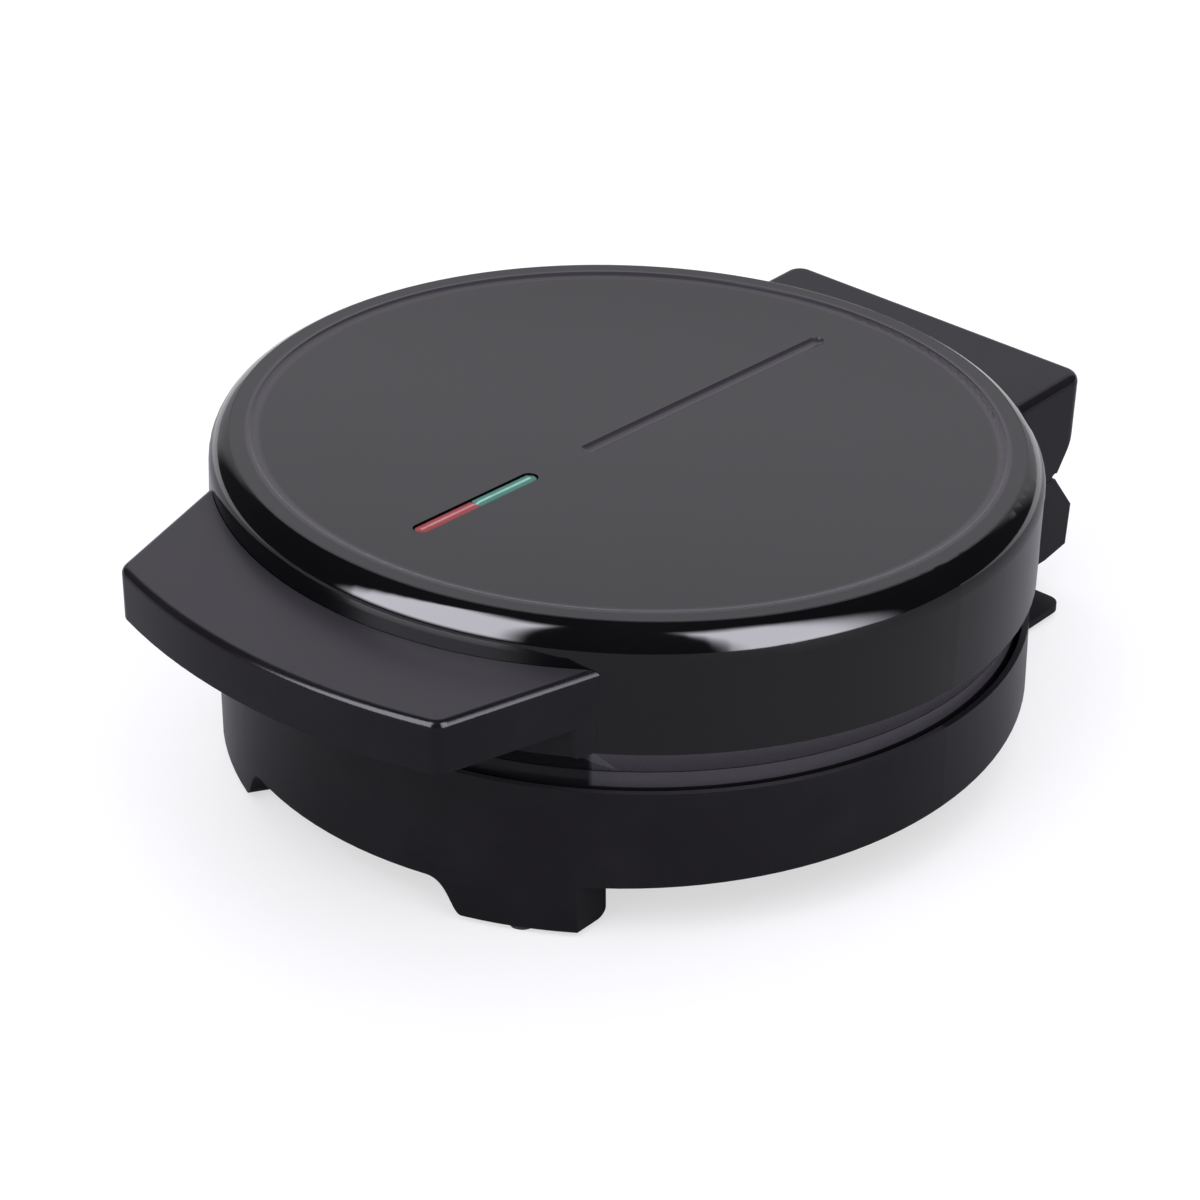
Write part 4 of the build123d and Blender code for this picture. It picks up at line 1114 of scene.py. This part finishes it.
@dataclass
class Studio:
    """The floor, the light and the camera."""

    azimuth: float = 41.6
    elevation: float = 31.121
    distance: float = 1.0
    aim_height: float = 31.25 * MM
    shift_right: float = 5.826 * MM
    shift_up: float = -0.453 * MM
    lens: float = 116.685
    film: float = 36.0
    clip: tuple[float, float] = (0.01, 50.0)
    floor_size: float = 6.0
    room: float = 0.05
    spill: float = 0.115
    top_light: float = 1.35
    top_low: float = 42.0
    top_soft: float = 10.0
    sweep_start: float = 0.24
    sweep_soft: float = 0.06
    table: tuple[Colour, Colour] = ((0.38, 0.38, 0.38), (0.36, 0.36, 0.36))
    sheet: tuple[Colour, Colour] = ((0.40, 0.40, 0.40), (0.41, 0.41, 0.41))
    sheet_glow: float = 0.62
    gloss_share: float = 0.3
    tone: Colour = (0.98, 0.957, 1.055)
    panels: tuple[Panel, ...] = (
        Panel(left=-34.0, right=12.0, low=6.0, high=68.0, radiance=14.5),
        Panel(left=69.0, right=106.0, low=-2.0, high=62.0, radiance=14.5, soft_right=12.0),
    )
    backdrop: Panel = Panel(
        left=-180.0, right=-102.0, low=-12.0, high=58.0, radiance=0.52, soft_left=6.0
    )
    backdrop_head: Panel = Panel(
        left=-180.0, right=-102.0, low=22.3, high=58.0, radiance=0.28, soft_left=6.0, soft_low=2.0
    )

    def camera(self) -> None:
        """Place the camera where the photograph was taken from."""
        a, e = math.radians(self.azimuth), math.radians(self.elevation)
        right = Vector((math.cos(a), math.sin(a), 0.0))
        back = Vector((math.sin(a) * math.cos(e), -math.cos(a) * math.cos(e), math.sin(e)))
        up = back.cross(right)
        data = bpy.data.cameras.new("camera")
        data.sensor_width = self.film
        data.lens = self.lens
        data.clip_start, data.clip_end = self.clip
        camera = bpy.data.objects.new("camera", data)
        bpy.context.scene.collection.objects.link(camera)
        place = Vector((0.0, 0.0, self.aim_height)) + back * self.distance
        place -= right * self.shift_right + up * self.shift_up
        turn = Matrix((right, up, back)).transposed().to_4x4()
        camera.matrix_world = Matrix.Translation(place) @ turn
        bpy.context.scene.camera = camera

    @staticmethod
    def split(g: Graph, seen: Value, plain: Value, white: Value, output: str) -> None:
        """Show one surface to some rays and another to the rest.

        Args:
            g: the graph that it ends.
            seen: the share of the white surface.
            plain: the surface that lights the object.
            white: the surface that is looked at.
            output: the type of the output node.
        """
        both = g.node("ShaderNodeMixShader", {}, {0: seen, 1: plain, 2: white})
        g.node(output, {}, {"Surface": both})

    def world(self) -> None:
        """Set up the room.

        The backdrop is white to the camera and to clear parts all round, and in part to gloss where it
        stands. The rest of the room is dark but for its light panels and a soft light from above.
        """
        world = bpy.data.worlds.new("studio")
        bpy.context.scene.world = world
        g = Graph(world)
        way = g.node("ShaderNodeTexCoord", output="Generated")
        glossy = g.path("Is Glossy Ray")
        lamps = self.panels[0].seen(g, way)
        for panel in self.panels[1:]:
            lamps = lamps + panel.seen(g, way)
        top = way.rise().above(math.radians(self.top_low), math.radians(self.top_soft))
        top = top * (1 - glossy) * self.top_light
        backdrop = self.backdrop.seen(g, way) + self.backdrop_head.seen(g, way)
        light = lamps * (glossy * (1 - self.spill) + self.spill) + top + backdrop + self.room
        room = g.node("ShaderNodeBackground", {}, {"Color": self.tone, "Strength": light})
        white = g.node("ShaderNodeBackground", {}, {"Color": (1.0, 1.0, 1.0), "Strength": 1.0})
        seen = g.path("Is Camera Ray") + g.path("Is Transmission Ray")
        seen = seen + glossy * backdrop * self.gloss_share
        self.split(g, seen, room, white, "ShaderNodeOutputWorld")

    def floor(self) -> None:
        """Lay the pale floor: white to the camera, with the object's shadow on it."""
        bpy.ops.object.select_all(action="DESELECT")
        bpy.ops.mesh.primitive_plane_add(size=self.floor_size)
        floor = bpy.context.active_object
        floor.name = "floor"
        g = Graph.named("pale_floor")
        cloud = g.noise(scale=3.0, detail=2.0)
        table = {"Base Color": g.blend(cloud, *self.table), "Roughness": 0.7}
        plain = g.node("ShaderNodeBsdfPrincipled", {}, table, "BSDF")
        sheet = {
            "Base Color": g.blend(cloud, *self.sheet),
            "Roughness": 0.9,
            "Emission Color": (1.0, 1.0, 1.0),
            "Emission Strength": self.sheet_glow,
        }
        white = g.node("ShaderNodeBsdfPrincipled", {}, sheet, "BSDF")
        a = math.radians((self.backdrop.left + self.backdrop.right) / 2)
        towards = g.place().dot((math.sin(a), -math.cos(a), 0.0))
        sweep = towards.above(self.sweep_start, self.sweep_soft)
        seen = g.path("Is Camera Ray") + g.path("Is Transmission Ray")
        seen = seen + g.path("Is Glossy Ray") * sweep
        self.split(g, seen, plain, white, "ShaderNodeOutputMaterial")
        floor.data.materials.append(g.owner)

    def build(self) -> None:
        """Set up the whole studio."""
        bpy.context.scene.view_settings.view_transform = "Standard"
        self.camera()
        self.world()
        self.floor()
        LOG.info("studio: floor, %d light panels, camera", len(self.panels))


def assemblies(nodes: dict[str, bpy.types.Object], palette: Palette) -> list[SubAssembly]:
    """The object's sub-assemblies in the order in which they are built."""
    shells = SubAssembly(
        nodes,
        palette,
        {
            "lid_cover": Finish.GLOSS,
            "lid_frame": Finish.MATT,
            "handle_underside": Finish.MATT,
            "hinge_cover": Finish.MATT,
            "base_ring": Finish.MATT,
            "base_tub": Finish.MATT,
            "hinge_block": Finish.MATT,
            "cord_wrap_foot": Finish.MATT,
        },
    )
    plates = SubAssembly(
        nodes,
        palette,
        {
            "upper_heating_element": Finish.ELEMENT,
            "lower_heating_element": Finish.ELEMENT,
            "upper_reflector": Finish.SHEET,
            "lower_reflector": Finish.SHEET,
            "thermal_fuse": Finish.FUSE,
            "hinge_pins": Finish.PIN,
        },
    )
    window = Window(nodes, palette, {"red_lamp": Finish.GLASS, "green_lamp": Finish.GLASS})
    fixings = Screws(
        nodes,
        palette,
        riders={
            "upper_plate_screws": Body.LID,
            "lower_plate_screws": Body.BASE,
            "lid_screws": Body.LID,
            "base_screws": Body.BASE,
            "handle_screws": Body.LID,
            "hinge_cover_screws": Body.LID,
            "hinge_block_screws": Body.BASE,
            "cord_wrap_screws": Body.BASE,
        },
    )
    softened = Softened(
        nodes,
        palette,
        roundings={
            "upper_grid_plate": Rounding(Body.LID, Finish.CAST, 0.3 * MM),
            "lower_grid_plate": Rounding(Body.BASE, Finish.CAST, 0.3 * MM),
            "rubber_feet": Rounding(Body.BASE, Finish.PAD, 0.3 * MM, 3),
            "thermostat": Rounding(Body.LID, Finish.THERMOSTAT, 0.3 * MM),
            "lamp_holder": Rounding(Body.LID, Finish.HOUSING, 0.2 * MM),
            "terminal_block": Rounding(Body.BASE, Finish.TERMINAL, 0.25 * MM),
            "cord_clamp": Rounding(Body.BASE, Finish.CLAMP, 0.25 * MM),
            "cord_bush": Rounding(Body.BASE, Finish.BUSH, 0.3 * MM),
        },
    )
    leads = {"lid_leads": Finish.SLEEVE, "base_leads": Finish.SLEEVE}
    wiring = SubAssembly(nodes, palette, leads)
    lip = PanelLip(nodes, palette)
    return [shells, lip, plates, window, fixings, softened, wiring]


def main() -> None:
    """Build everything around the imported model."""
    logging.basicConfig(level=logging.INFO, format="%(name)s %(message)s")
    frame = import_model()
    bpy.ops.object.select_all(action="DESELECT")
    Studio().build()
    for assembly in assemblies(frame["nodes"], Palette()):
        assembly.dress()


if __name__ == "__main__":
    main()
